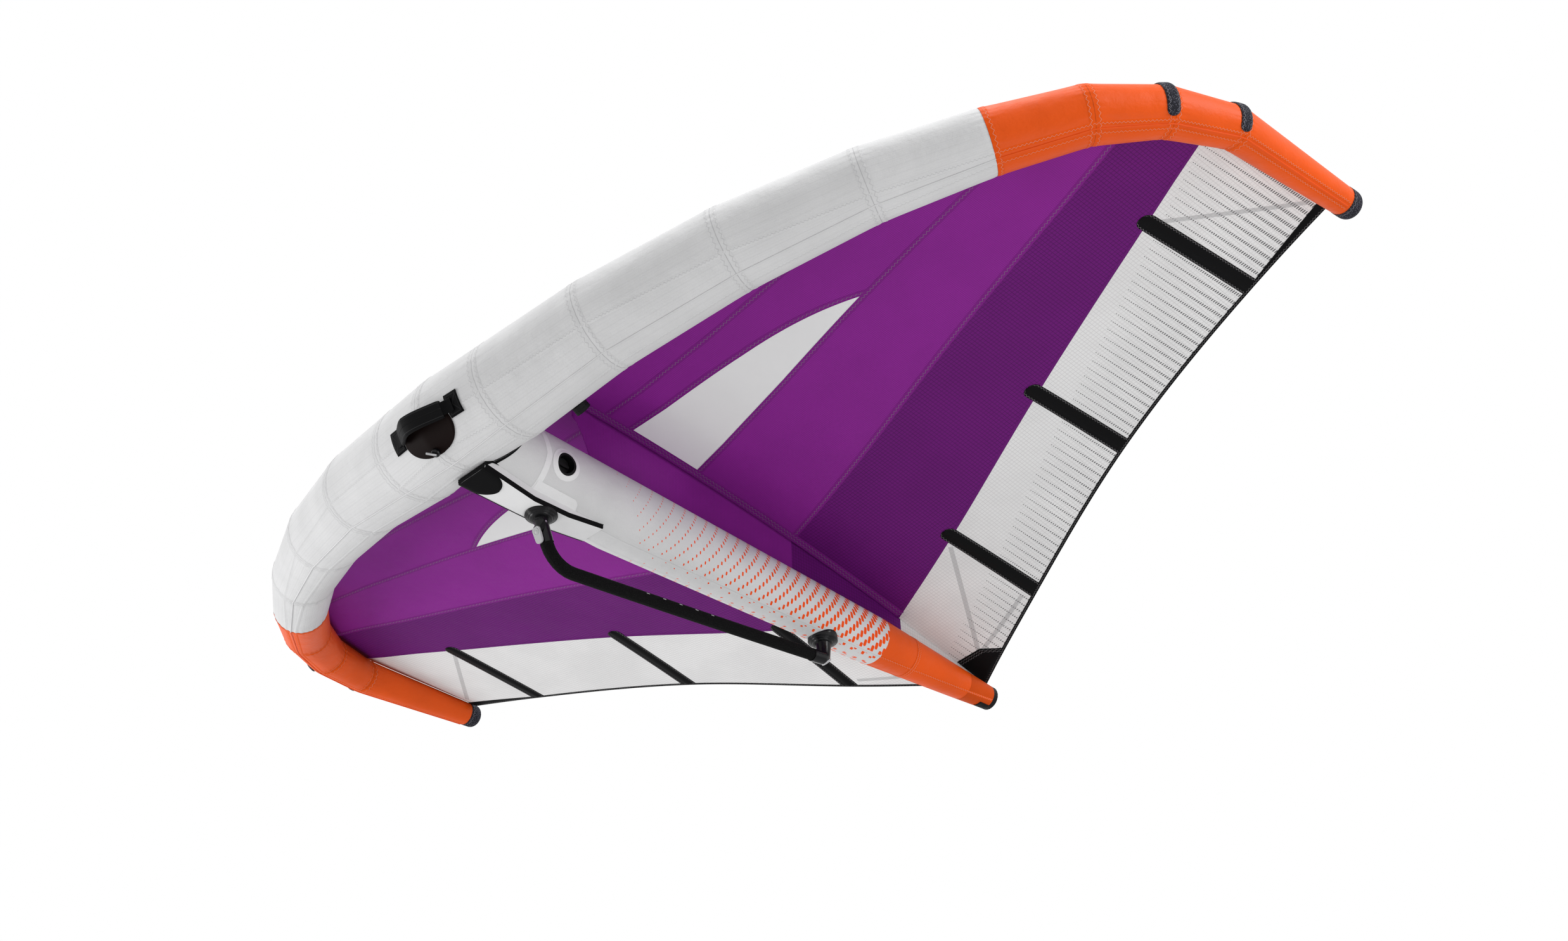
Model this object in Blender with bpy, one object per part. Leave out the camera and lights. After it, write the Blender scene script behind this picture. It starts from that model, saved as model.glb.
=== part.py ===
"""Hand-held inflatable wing for foiling, built from its sewn, moulded and inflated pieces.

X runs along the span, Y from the leading edge to the tail, and Z up. Sizes are in metres.
All pieces are laid out from the middle of the leading edge and hang under one empty,
which puts the origin of the part in the middle of the grip of the boom.
"""
import math

import bmesh
import bpy
from mathutils import Matrix, Vector

for leftover in list(bpy.data.objects):
    bpy.data.objects.remove(leftover, do_unlink=True)

# Clearances
gap = 0.0003                # between two pieces that touch
cloth_gap = 0.0006          # between a piece and the curved cloth that it is sewn to
overrun = 0.004             # how far a cutter runs past what it cuts

# Leading edge tube: nine straight stretches a side, bent at the seams between them
half_span = 1.55            # middle of the wing to the last seam of a tip
tip_sweep = 1.224           # how far that seam lies behind the middle
tip_rise = 0.355            # and above it
tube_diameter = 0.23
tube_lift = 0.034           # axis of the tube above the axis of the strut
sleeve_wall = 0.0015
bladder_wall = 0.0006
seam_x_shares = (0, 0.101, 0.267, 0.463, 0.642, 0.781, 0.885, 0.950, 0.989, 1)
seam_y_shares = (0, 0.014, 0.0445, 0.1186, 0.2165, 0.3223, 0.4261, 0.5338, 0.6663, 1)
seam_z_shares = (0, 0.031, 0.163, 0.355, 0.535, 0.682, 0.808, 0.879, 0.935, 1)
seam_radius_shares = (1, 1, 0.922, 0.826, 0.713, 0.626, 0.557, 0.487, 0.417, 0.287)
tip_seam = 9
colour_seam = 5             # white cloth ends and orange cloth starts here
tube_sides = 24
bladder_sides = 12
tip_cap_length = 0.022
cap_steps = 5

# Strut: one tapered tube under the middle of the canopy
strut_colour_y = 1.309
strut_front_share = 0.3826  # radius at the front, as a share of the leading edge's diameter
strut_front_radius = tube_diameter * strut_front_share
strut_colour_radius = 0.062
strut_tail_radius = 0.0315
strut_nose_lift = 0.02      # axis at the leading edge above the axis of the strut
strut_level_y = 0.45        # behind here the axis is level
strut_sides = 24
mouth_steps = 4
saddle_gap = 0.0016         # between the leading edge and the mouth of the strut
end_cap_length = 0.019
end_cap_bevel = 0.004
strut_bladder_sides = 10

# Canopy: five rows of panels a side
cloth = 0.0012
attach_angle = 60           # degrees up the back of the tube, where the canopy is sewn on
root_chord = 1.75           # middle of the leading edge to the trailing edge
strut_tail_inset = 0.008    # the strut's cloth ends this far before the trailing edge
strut_tail_y = root_chord - strut_tail_inset
camber = 0.13
camber_place_share = 0.18
camber_fade_power = 1.2
camber_end_share = 0.968    # of the half span, where the camber has died out
trailing_rise = 0.038       # trailing edge above the axis of the strut, at the middle
trailing_rise_span = 0.372
trailing_x_shares = (0, 0.21, 0.494, 0.815, 1)
trailing_z_shares = (0, 0.189, 0.521, 0.825, 1)
seam_start_shares = (0.2315, 0.4015, 0.5874, 0.811, 1)
seam_end_places = (4.67, 5.74, 6.93, 7.93, 8.95)     # in seams along the tube
seam_bow_shares = (0, -0.0114, -0.007, -0.004, -0.044)
row_steps = (3, 3, 3, 3, 4)
span_steps = 13
half_seam = 0.0008          # canopy halves start this far from the middle
web_seam_half = 0.03        # half the width of the flange that joins the web to the canopy
window_front_share = 0.2726 # front edge of the window, as a share of the root chord
window_tip_share = 0.457    # its outer tip, as a share of the half span
window_power = 3.5
window_steps = 8

# Web between the strut and the canopy
web_thickness = 0.0012
web_front_y = 0.318
web_foot_y = 0.385
web_tail_inset = 0.07
web_tail_y = root_chord - web_tail_inset
web_front_drop = 0.035
web_front_power = 1.5
web_front_steps = 6

# Trailing edge tape, corner patches and battens
tape_depth = 0.009
tape_thickness = 0.0012
tape_tip_depth = 0.028
batten_front_x_shares = (0.194, 0.478, 0.794)
batten_tail_x_shares = (0.211, 0.497, 0.815)
batten_front_y_shares = (0.7257, 0.6187, 0.508)
pocket_width = 0.045
pocket_thickness = 0.0034
pocket_steps = 5
pocket_nose_share = 0.6
pocket_edge = 0.0012
pocket_tail_gap = 0.0036    # before the tape
batten_width = 0.014
patch_thickness = 0.0016
tail_patch_side = 0.118
tail_patch_length = 0.088
tail_patch_slope_share = 0.8
tape_end_share = 0.85
patch_steps = 3
search_steps = 30
search_step_share = 0.02

# Guards on the tips, sewn over the seventh and eighth seam
guard_width = 0.026
guard_thickness = 0.003
guard_angles = (90, 225)
guard_seams = (7, 8)
guard_shift = 0.006         # towards the middle of the wing, from the seam

# Handle on the front of the leading edge
handle_angle = 210          # degrees round the tube from its back
handle_half = 0.084         # middle to the middle of an anchor, along the tube
handle_bulge = 0.036
handle_width = 0.040
handle_strap = 0.003
handle_pad = 0.012
handle_pad_half = 0.062
anchor_width = 0.032
anchor_length = 0.052
anchor_thickness = 0.0022
backing_half = 0.066
backing_middle = 222        # degrees round the tube
backing_angle = 27
backing_thickness = 0.0014
backing_end_share = 0.35
handle_shift = 0.010
handle_steps = 12
pad_steps = 8
strap_share = 0.75

# Leash point under the handle
leash_angle = 244
leash_x = 0.004
leash_button_radius = 0.010
leash_button_height = 0.009
leash_button_bevel = 0.002
leash_pin_radius = 0.0028
leash_pin_length = 0.024
pin_sides = 10

# Valve on the back of the leading edge
edge_valve_x = 0.262
edge_valve_angle = -30
edge_valve_radius = 0.0185
edge_valve_stem = 0.0115
edge_valve_wall = 0.003
edge_valve_height = 0.010
edge_valve_depth = 0.016
edge_cap_height = 0.008
edge_bladder_port = 0.026
valve_sides = 16

# Valve in the side of the strut
strut_valve_y = 0.238
strut_valve_angle = -12
strut_valve_radius = 0.0235
strut_valve_rim = 0.0268
strut_valve_rim_height = 0.0022
strut_valve_depth = 0.026
strut_valve_wall = 0.0022
strut_plug_radius = 0.0185
strut_plug_height = 0.009
strut_plug_bar = 0.006
plug_bar_share = 0.8

# Fairing between the leading edge and the strut, which carries the front mount
fairing_front_y = 0.047
fairing_flat_y = 0.196
fairing_level_y = 0.292
fairing_tail_y = 0.385
fairing_front_depth = 0.004     # below the leading edge
fairing_flat_depth = 0.0105     # below the strut
fairing_tail_depth = 0.0015
fairing_front_z = tube_lift - tube_diameter / 2 - fairing_front_depth
fairing_flat_z = -strut_front_radius - fairing_flat_depth
fairing_tail_z = -strut_front_radius - fairing_tail_depth
fairing_half = 0.046
fairing_tail_half = 0.036
fairing_waist_share = 1.2
tongue_length = 0.074
tongue_thickness = 0.0022
tongue_steps = 4
tongue_nose_share = 0.55
fairing_steps = 5
fairing_columns = 3

# Mounts of the boom
mount_radius = 0.037
mount_step = 0.004
mount_step_shares = (1, 0.83, 0.67)
mount_sides = 28
front_mount_y = 0.241
front_bore = 0.0178
rear_mount_y = 1.128
rear_bore = 0.0205
rear_saddle = 0.006

# Boom
grip_radius = 0.0152
boom_radius = 0.0124
boom_wall = 0.0018
neck_drop = 0.0255          # from the bridge to the bend of the neck
corner_y = 0.283
corner_drop = 0.12          # from the bridge to the corner of the boom
rear_axis_drop = 0.0525     # from the skin of the strut to the boom's line
boom_bow = -0.0015
elbow_radius = 0.074
elbow_steps = 6
boom_steps = 6
boom_sides = 14
grip_start = 0.068          # along the boom from its top end to the end of the grip
spigot_radius = 0.0152
neck_radius = 0.0145
barrel_radius = 0.0172
barrel_front = 0.040
barrel_tail = 0.017
rear_neck_radius = 0.0125
rear_neck_top = 0.0162      # radius just under the hinge pin
rear_pivot_drop = 0.0105    # hinge pin below the skin of the strut
hinge_pin_radius = 0.003
rear_head = 0.0045
rear_head_radius = 0.0085
saddle_rings = 3
cap_thickness = 0.0045
cap_bevel = 0.0012
neck_turn_radius = 0.03
neck_steps = 3
neck_turn_z = fairing_flat_z - neck_drop
corner_z = fairing_flat_z - corner_drop
barrel_socket_end = 0.0148  # the boom tube stops this far before the rear mount

# Latch lever of the front fitting
lever_cheek = 0.0032
lever_width = 0.024
lever_length = 0.045        # from its pin to its free end
lever_corner = 0.006
lever_nose_share = 0.6
lever_eye = 0.0075
lever_shoulder = 0.0088     # from its pin to the plate
lever_bar = 0.007
lever_pin_radius = 0.0028

# Middle of the grip, which is the origin of the part
grip_middle_share = 0.5


def material(name, colour, roughness, metallic=0.0, alpha=1.0):
    made = bpy.data.materials.new(name)
    made.use_nodes = True
    shader = made.node_tree.nodes["Principled BSDF"]
    shader.inputs["Base Color"].default_value = (*colour, 1)
    shader.inputs["Roughness"].default_value = roughness
    shader.inputs["Metallic"].default_value = metallic
    shader.inputs["Alpha"].default_value = alpha
    return made


white_cloth = material("white_cloth", (0.80, 0.80, 0.79), 0.55)
orange_cloth = material("orange_cloth", (0.90, 0.22, 0.03), 0.5)
purple_cloth = material("purple_cloth", (0.28, 0.02, 0.33), 0.5)
dark_purple_cloth = material("dark_purple_cloth", (0.14, 0.01, 0.18), 0.5)
pale_cloth = material("pale_cloth", (0.78, 0.78, 0.78), 0.5)
window_film = material("window_film", (0.62, 0.62, 0.62), 0.25, alpha=0.9)
black_cloth = material("black_cloth", (0.012, 0.012, 0.012), 0.75)
speckled_cloth = material("speckled_cloth", (0.05, 0.05, 0.07), 0.8)
bladder_film = material("bladder_film", (0.75, 0.76, 0.70), 0.4)
black_plastic = material("black_plastic", (0.012, 0.012, 0.012), 0.3)
grey_plastic = material("grey_plastic", (0.55, 0.55, 0.55), 0.35)
grip_foam = material("grip_foam", (0.010, 0.010, 0.010), 0.85)
alloy = material("alloy", (0.35, 0.35, 0.36), 0.35, metallic=1.0)


def lerp(a, b, share):
    return a + (b - a) * share


def along_table(x, places, values):
    """Straight lines between the entries of a table."""
    for k in range(len(places) - 1):
        if x <= places[k + 1] or k == len(places) - 2:
            return lerp(values[k], values[k + 1], (x - places[k]) / (places[k + 1] - places[k]))


def mirrored(point, side):
    return Vector((point.x * side, point.y, point.z))


def smooth_table(x, places, values):
    """A smooth line through the entries of a table."""
    slopes = []
    for k in range(len(places)):
        low, high = max(k - 1, 0), min(k + 1, len(places) - 1)
        slopes.append((values[high] - values[low]) / (places[high] - places[low]))
    for k in range(len(places) - 1):
        if x <= places[k + 1] or k == len(places) - 2:
            span = places[k + 1] - places[k]
            t = (x - places[k]) / span
            return ((2 * t**3 - 3 * t**2 + 1) * values[k] + (t**3 - 2 * t**2 + t) * span * slopes[k]
                    + (3 * t**2 - 2 * t**3) * values[k + 1] + (t**3 - t**2) * span * slopes[k + 1])


def seam_centre(k):
    """Middle of the tube at seam k, which is negative on the left."""
    n = abs(k)
    side = -1 if k < 0 else 1
    return Vector((side * half_span * seam_x_shares[n], tip_sweep * seam_y_shares[n],
                   tube_lift + tip_rise * seam_z_shares[n]))


def seam_radius(k):
    return tube_diameter / 2 * seam_radius_shares[abs(k)]


def seam_frame(k):
    """Direction of the tube at a seam, back and up, and the way and amount of its bend."""
    before = (seam_centre(k) - seam_centre(k - 1)).normalized() if k > -tip_seam else None
    after = (seam_centre(k + 1) - seam_centre(k)).normalized() if k < tip_seam else None
    before, after = before or after, after or before
    along = (before + after).normalized()
    back = Vector((0, 0, 1)).cross(along).normalized()
    bend = after - before
    bend = bend.normalized() if bend.length > 0 else back
    return along, back, along.cross(back), bend, along.dot(after)


def seam_point(k, angle, extra=0.0):
    """Point of the tube's skin at seam k, with extra added to its radius."""
    along, back, up, bend, cosine = seam_frame(k)
    turn = math.radians(angle)
    out = (back * math.cos(turn) + up * math.sin(turn)) * (seam_radius(k) + extra)
    out += bend * out.dot(bend) * (1 / cosine - 1)
    return seam_centre(k) + out


def tube_place(x):
    """Place along the tube, in seams, of a point at x."""
    places = [half_span * share for share in seam_x_shares]
    side = -1 if x < 0 else 1
    return side * along_table(abs(x), places, list(range(tip_seam + 1)))


def on_tube(place, angle, extra=0.0):
    """Point of the skin anywhere along and round the tube, on its flats."""
    k = min(max(math.floor(place), -tip_seam), tip_seam - 1)
    step = 360 / tube_sides
    low = math.floor(angle / step) * step
    share = (angle - low) / step
    ends = [seam_point(seam, low, extra).lerp(seam_point(seam, low + step, extra), share)
            for seam in (k, k + 1)]
    return ends[0].lerp(ends[1], place - k)


def off_tube(place, angle):
    """Direction square to the skin at a point of the tube."""
    along = on_tube(place + search_step_share, angle) - on_tube(place - search_step_share, angle)
    along.normalize()
    out = on_tube(place, angle, gap) - on_tube(place, angle)
    return (out - along * out.dot(along)).normalized()


def strut_radius(y):
    return along_table(y, (strut_level_y, strut_colour_y, strut_tail_y),
                       (strut_front_radius, strut_colour_radius, strut_tail_radius)
                       ) if y > strut_level_y else strut_front_radius


def strut_axis(y):
    return strut_nose_lift * max(0.0, 1 - y / strut_level_y)


def strut_floor(x, y):
    """Underside of the strut, on its flats, at a point of the plan."""
    step = 2 * math.pi / strut_sides
    radius = strut_radius(y)
    flat = math.floor(math.asin(min(abs(x) / radius, 1.0)) / step) * step
    share = (abs(x) / radius - math.sin(flat)) / (math.sin(flat + step) - math.sin(flat))
    return strut_axis(y) - radius * lerp(math.cos(flat), math.cos(flat + step), share)


# Frames that carry the pieces
wing_frame = bpy.data.objects.new("wing_frame", None)
bpy.context.collection.objects.link(wing_frame)


def pivot(name, place, parent_empty=None):
    """Empty on a joint's axis; place is measured from the middle of the leading edge."""
    empty = bpy.data.objects.new(name, None)
    bpy.context.collection.objects.link(empty)
    empty.parent = parent_empty or wing_frame
    origin = parent_empty["place"] if parent_empty else (0, 0, 0)
    empty["place"] = tuple(place)
    empty.location = Vector(place) - Vector(origin)
    return empty


def finish(name, mesh, look, carrier=None, smooth=32, cutters=(), union=None):
    """Turn a bmesh into a named object under its carrier."""
    place = Vector(carrier["place"]) if carrier else Vector((0, 0, 0))
    bmesh.ops.translate(mesh, verts=mesh.verts, vec=-place)
    bmesh.ops.recalc_face_normals(mesh, faces=mesh.faces)
    data = bpy.data.meshes.new(name)
    mesh.to_mesh(data)
    mesh.free()
    data.shade_smooth()
    data.set_sharp_from_angle(angle=math.radians(smooth))
    data.materials.append(look)
    made = bpy.data.objects.new(name, data)
    bpy.context.collection.objects.link(made)
    made.parent = carrier or wing_frame
    if union:
        joined = made.modifiers.new("join", "BOOLEAN")
        joined.operation = "UNION"
        joined.object = union
    for cutter in cutters:
        cut = made.modifiers.new("cut", "BOOLEAN")
        cut.operation = "DIFFERENCE"
        cut.object = cutter
    return made


def guide(name, mesh, carrier=None):
    """A helper body for a Boolean, which is no piece of the wing."""
    made = finish(name, mesh, black_plastic, carrier)
    made.hide_render = True
    made.display_type = "WIRE"
    return made


def add_loft(mesh, rings, wrap=False, cap=True):
    """Skin over a row of rings; wrap joins the last ring to the first."""
    rows = [[mesh.verts.new(point) for point in ring] for ring in rings]
    count = len(rows[0])
    pairs = list(zip(rows, rows[1:])) + ([(rows[-1], rows[0])] if wrap else [])
    for low, high in pairs:
        for k in range(count):
            n = (k + 1) % count
            mesh.faces.new((low[k], low[n], high[n], high[k]))
    if cap and not wrap:
        mesh.faces.new(list(reversed(rows[0])))
        mesh.faces.new(rows[-1])
    return rows


def loft(rings, wrap=False):
    mesh = bmesh.new()
    add_loft(mesh, rings, wrap)
    return mesh


def shell(outer, inner):
    """Tube with a wall, open at both ends."""
    mesh = bmesh.new()
    skins = [[[mesh.verts.new(point) for point in ring] for ring in rings] for rings in (outer, inner)]
    count = len(outer[0])
    for k in range(count):
        n = (k + 1) % count
        for rows in skins:
            for low, high in zip(rows, rows[1:]):
                mesh.faces.new((low[k], low[n], high[n], high[k]))
        for end in (0, -1):
            mesh.faces.new((skins[0][end][k], skins[0][end][n], skins[1][end][n], skins[1][end][k]))
    return mesh


def sheet(top, bottom):
    """Closed thin body between two grids of points of the same size."""
    mesh = bmesh.new()
    above = [[mesh.verts.new(point) for point in line] for line in top]
    below = [[mesh.verts.new(point) for point in line] for line in bottom]
    rows, columns = len(above), len(above[0])
    for i in range(rows - 1):
        for j in range(columns - 1):
            mesh.faces.new((above[i][j], above[i][j + 1], above[i + 1][j + 1], above[i + 1][j]))
            mesh.faces.new((below[i][j], below[i + 1][j], below[i + 1][j + 1], below[i][j + 1]))
    rim = [(0, j) for j in range(columns)] + [(i, columns - 1) for i in range(1, rows)]
    rim += [(rows - 1, j) for j in range(columns - 2, -1, -1)] + [(i, 0) for i in range(rows - 2, 0, -1)]
    for (a, b), (c, d) in zip(rim, rim[1:] + rim[:1]):
        mesh.faces.new((above[a][b], above[c][d], below[c][d], below[a][b]))
    bmesh.ops.remove_doubles(mesh, verts=mesh.verts, dist=gap / 10)
    return mesh


def turned(profile, sides, origin, axis, bored=False):
    """Profile of (radius, height) points, turned about an axis and capped or bored."""
    axis = Vector(axis).normalized()
    across = axis.orthogonal().normalized()
    other = axis.cross(across)
    rings = []
    for radius, height in profile:
        turns = [2 * math.pi * k / sides for k in range(sides)]
        rings.append([Vector(origin) + axis * height
                      + (across * math.cos(turn) + other * math.sin(turn)) * radius for turn in turns])
    return loft(rings, wrap=bored)


def bar(start, end, radius, sides):
    """Round bar between two points."""
    start, end = Vector(start), Vector(end)
    return turned([(radius, 0), (radius, (end - start).length)], sides, start, end - start)


# Leading edge sleeves, caps and bladder
def tube_rings(first, last, extra):
    """Rings of the tube's skin from seam first to seam last, drawn in a little at both ends."""
    rings = []
    for k in range(first, last + 1):
        shift = gap / 2 if k == first else -gap / 2 if k == last else 0.0
        move = seam_frame(k)[0] * shift
        rings.append([seam_point(k, 360 * n / tube_sides, extra) + move for n in range(tube_sides)])
    return rings


tube_flat = tube_diameter / 2 * (1 - math.cos(math.pi / tube_sides))


def edge_valve_axis():
    place = tube_place(edge_valve_x)
    return on_tube(place, edge_valve_angle), off_tube(place, edge_valve_angle)


def edge_sleeves():
    seat, out = edge_valve_axis()
    hole = guide("edge_valve_hole", bar(seat - out * overrun * 2, seat + out * overrun,
                                        edge_valve_stem + gap, tube_sides))
    middle = shell(tube_rings(-colour_seam, colour_seam, 0.0),
                   tube_rings(-colour_seam, colour_seam, -sleeve_wall))
    finish("leading_edge_sleeve", middle, white_cloth, cutters=[hole])
    skins = [tube_rings(colour_seam, tip_seam, extra) for extra in (0.0, -sleeve_wall)]
    for side, name in ((-1, "left"), (1, "right")):
        tip = [[[mirrored(point, side) for point in ring] for ring in rings] for rings in skins]
        finish(f"tip_sleeve_{name}", shell(*tip), orange_cloth)
        along = seam_frame(side * tip_seam)[0] * side
        centre, radius = seam_centre(side * tip_seam), seam_radius(tip_seam)
        turns = [math.pi / 2 * n / cap_steps for n in range(cap_steps)]
        dome = [(radius * math.cos(turn), gap / 2 + tip_cap_length * math.sin(turn)) for turn in turns]
        finish(f"tip_cap_{name}", turned(dome, tube_sides, centre, along), speckled_cloth)


def bag(outer, inner, port_ring):
    """Closed film bag with a wall, and a square port between two of its rings."""
    mesh = bmesh.new()
    skins = [[[mesh.verts.new(point) for point in ring] for ring in rings] for rings in (outer, inner)]
    count = len(outer[0])
    for rows in skins:
        for r in range(len(rows) - 1):
            for n in range(count):
                if (r, n) == (port_ring, 0):
                    continue
                m = (n + 1) % count
                mesh.faces.new((rows[r][n], rows[r][m], rows[r + 1][m], rows[r + 1][n]))
        mesh.faces.new(rows[0])
        mesh.faces.new(rows[-1])
    corners = [(port_ring, 0), (port_ring, 1), (port_ring + 1, 1), (port_ring + 1, 0)]
    for (a, b), (c, d) in zip(corners, corners[1:] + corners[:1]):
        mesh.faces.new((skins[0][a][b], skins[0][c][d], skins[1][c][d], skins[1][a][b]))
    return mesh


def edge_bladder():
    """Film tube that holds the air, with a port at the valve."""
    port = tube_place(edge_valve_x)
    reach = edge_bladder_port / (seam_centre(2).x - seam_centre(1).x)
    first, last = math.floor(port), math.ceil(port)
    places = list(range(-tip_seam, first + 1)) + [port - reach, port + reach]
    places += list(range(last, tip_seam + 1))
    offset = edge_valve_angle - 180 / bladder_sides
    skins = []
    for wall in (0.0, bladder_wall):
        rings = []
        for place in places:
            inset = wall + sleeve_wall + gap + tube_flat
            end = Vector()
            if abs(place) == tip_seam:
                end = seam_frame(place)[0] * -math.copysign(cloth_gap + wall, place)
            rings.append([on_tube(place, offset + 360 * n / bladder_sides, -inset) + end
                          for n in range(bladder_sides)])
        skins.append(rings)
    finish("leading_edge_bladder", bag(*skins, first + tip_seam + 1), bladder_film)


# Strut
def strut_ring(y, inset, mouth=False, sides=strut_sides, offset=0.0):
    radius = strut_radius(y) - inset
    ring = []
    for n in range(sides):
        turn = 2 * math.pi * n / sides + math.radians(offset)
        x, place = radius * math.cos(turn), y
        for _ in range(mouth_steps if mouth else 0):
            middle = on_tube(tube_place(x), 0, -seam_radius(0))
            rise = strut_axis(place) + radius * math.sin(turn) - middle.z
            place = middle.y + math.sqrt((seam_radius(0) + saddle_gap)**2 - rise**2)
        ring.append(Vector((x, place, strut_axis(place) + radius * math.sin(turn))))
    return ring


def strut_valve_seat():
    """Middle of the valve on the skin of the strut, with the way out and the way along."""
    turn = math.radians(strut_valve_angle)
    reach = strut_valve_rim
    along = Vector((0, 2 * reach, strut_axis(strut_valve_y + reach) - strut_axis(strut_valve_y - reach)))
    along.normalize()
    out = Vector((math.cos(turn), 0, math.sin(turn)))
    out = (out - along * out.dot(along)).normalized()
    axis_point = Vector((0, strut_valve_y, strut_axis(strut_valve_y)))
    return axis_point + out * strut_radius(strut_valve_y), out, along


def strut_tubes():
    seat, out, _ = strut_valve_seat()
    hole = guide("strut_valve_hole", bar(seat - out * strut_valve_depth, seat + out * overrun,
                                         strut_valve_radius + gap, tube_sides))
    half = gap / 2
    rings = [[strut_ring(fairing_front_y, inset, mouth=True)]
             + [strut_ring(y, inset) for y in (fairing_flat_y, strut_level_y, strut_colour_y - half)]
             for inset in (0.0, sleeve_wall)]
    finish("strut_sleeve", shell(*rings), white_cloth, cutters=[hole])
    middle = (strut_colour_y + strut_tail_y) / 2
    rings = [[strut_ring(y, inset) for y in (strut_colour_y + half, middle, strut_tail_y - half)]
             for inset in (0.0, sleeve_wall)]
    finish("strut_tail_sleeve", shell(*rings), orange_cloth)
    skins = []
    offset = strut_valve_angle - 180 / strut_bladder_sides
    flat = strut_front_radius * (1 - math.cos(math.pi / strut_sides))
    port = strut_valve_radius + overrun
    for wall in (0.0, bladder_wall):
        inset = sleeve_wall + gap + flat + wall
        ys = (tube_diameter / 2 + strut_front_radius / 4 + wall, strut_valve_y - port, strut_valve_y + port,
              strut_level_y, strut_colour_y, strut_tail_y - cloth_gap - wall)
        skins.append([strut_ring(y, inset, sides=strut_bladder_sides, offset=offset) for y in ys])
    finish("strut_bladder", bag(*skins, 1), bladder_film)
    tail = [(strut_tail_radius, 0), (strut_tail_radius, end_cap_length - end_cap_bevel),
            (strut_tail_radius - end_cap_bevel, end_cap_length)]
    finish("strut_end_cap", turned(tail, strut_sides, (0, strut_tail_y + half, strut_axis(strut_tail_y)),
                                   (0, 1, 0)), black_plastic)


# Canopy
def attach_point(place, lift=0.0):
    """Where the canopy is sewn to the tube, lifted off its skin."""
    return on_tube(place, attach_angle, gap + cloth / 2 + lift)


attach_table = [attach_point(k) for k in range(tip_seam + 1)]
attach_xs = [point.x for point in attach_table]
attach_ys = [point.y for point in attach_table]
attach_zs = [point.z for point in attach_table]
seam_ends = [attach_point(place) for place in seam_end_places]
trailing_seam = len(seam_ends) - 1


def attach_y(x):
    return along_table(x, attach_xs, attach_ys)


def seam_line(number, x):
    """Y of a seam of the canopy at x; the last one is the trailing edge."""
    start, end = root_chord * seam_start_shares[number], seam_ends[number]
    share = x / end.x
    return lerp(start, end.y, share) + 4 * share * (1 - share) * root_chord * seam_bow_shares[number]


def window_line(x):
    """Y of the front edge of the window, which meets the seam behind it in a point."""
    tip = half_span * window_tip_share
    if x >= tip:
        return seam_line(1, x)
    return lerp(root_chord * window_front_share, seam_line(1, tip), (x / tip) ** window_power)


def canopy_height(x, y):
    """Height of the middle of the cloth over a point of the plan, on the right half."""
    front_y, front_z = attach_y(x), along_table(x, attach_xs, attach_zs)
    back_y = seam_line(trailing_seam, x)
    places = [half_span * share for share in trailing_x_shares]
    back_z = trailing_rise + smooth_table(x, places, [trailing_rise_span * s for s in trailing_z_shares])
    chord = min(max((y - front_y) / (back_y - front_y), 0.0), 1.0)
    peak = camber_place_share
    if chord < peak:
        arch = (2 * peak * chord - chord**2) / peak**2
    else:
        arch = (1 - 2 * peak + 2 * peak * chord - chord**2) / (1 - peak) ** 2
    fade = max(0.0, 1 - x / (half_span * camber_end_share)) ** camber_fade_power
    return lerp(front_z, back_z, chord) + camber * fade * arch


def columns(end_x):
    """X of the lines of a row from the middle of the wing to its outer end."""
    return [half_seam] + [lerp(web_seam_half, end_x, j / span_steps) for j in range(span_steps + 1)]


def window_columns(end_x):
    """The same, with a line on the tip of the window."""
    tip = half_span * window_tip_share
    left = span_steps - window_steps
    return ([half_seam] + [lerp(web_seam_half, tip, j / window_steps) for j in range(window_steps + 1)]
            + [lerp(tip, end_x, (j + 1) / left) for j in range(left)])


def cloth_grid(front, back, front_xs, back_xs, steps, end_places=None):
    """Points of a panel: lines from the middle outwards, stacked from front to back."""
    lines = []
    for i in range(steps + 1):
        share = i / steps
        line = []
        for front_x, back_x in zip(front_xs, back_xs):
            x, y = lerp(front_x, back_x, share), lerp(front(front_x), back(back_x), share)
            line.append(Vector((x, y, canopy_height(x, y))))
        if end_places:
            line[-1] = attach_point(lerp(*end_places, share))
        lines.append(line)
    return lines


def trimmed(lines):
    """Pull the front and back lines of a grid in, for the clearance at a seam."""
    lines = [list(line) for line in lines]
    for edge, inner in ((0, 1), (-1, -2)):
        for j, point in enumerate(lines[edge]):
            way = lines[inner][j] - point
            if way.length > gap:
                lines[edge][j] = point + way.normalized() * gap / 2
    return lines


def cloth_panel(name, lines, side, look, thickness=cloth, lift=0.0):
    up = Vector((0, 0, lift + thickness / 2))
    down = Vector((0, 0, lift - thickness / 2))
    top = [[mirrored(point + up, side) for point in line] for line in lines]
    bottom = [[mirrored(point + down, side) for point in line] for line in lines]
    finish(name, sheet(top, bottom), look, smooth=60)


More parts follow.
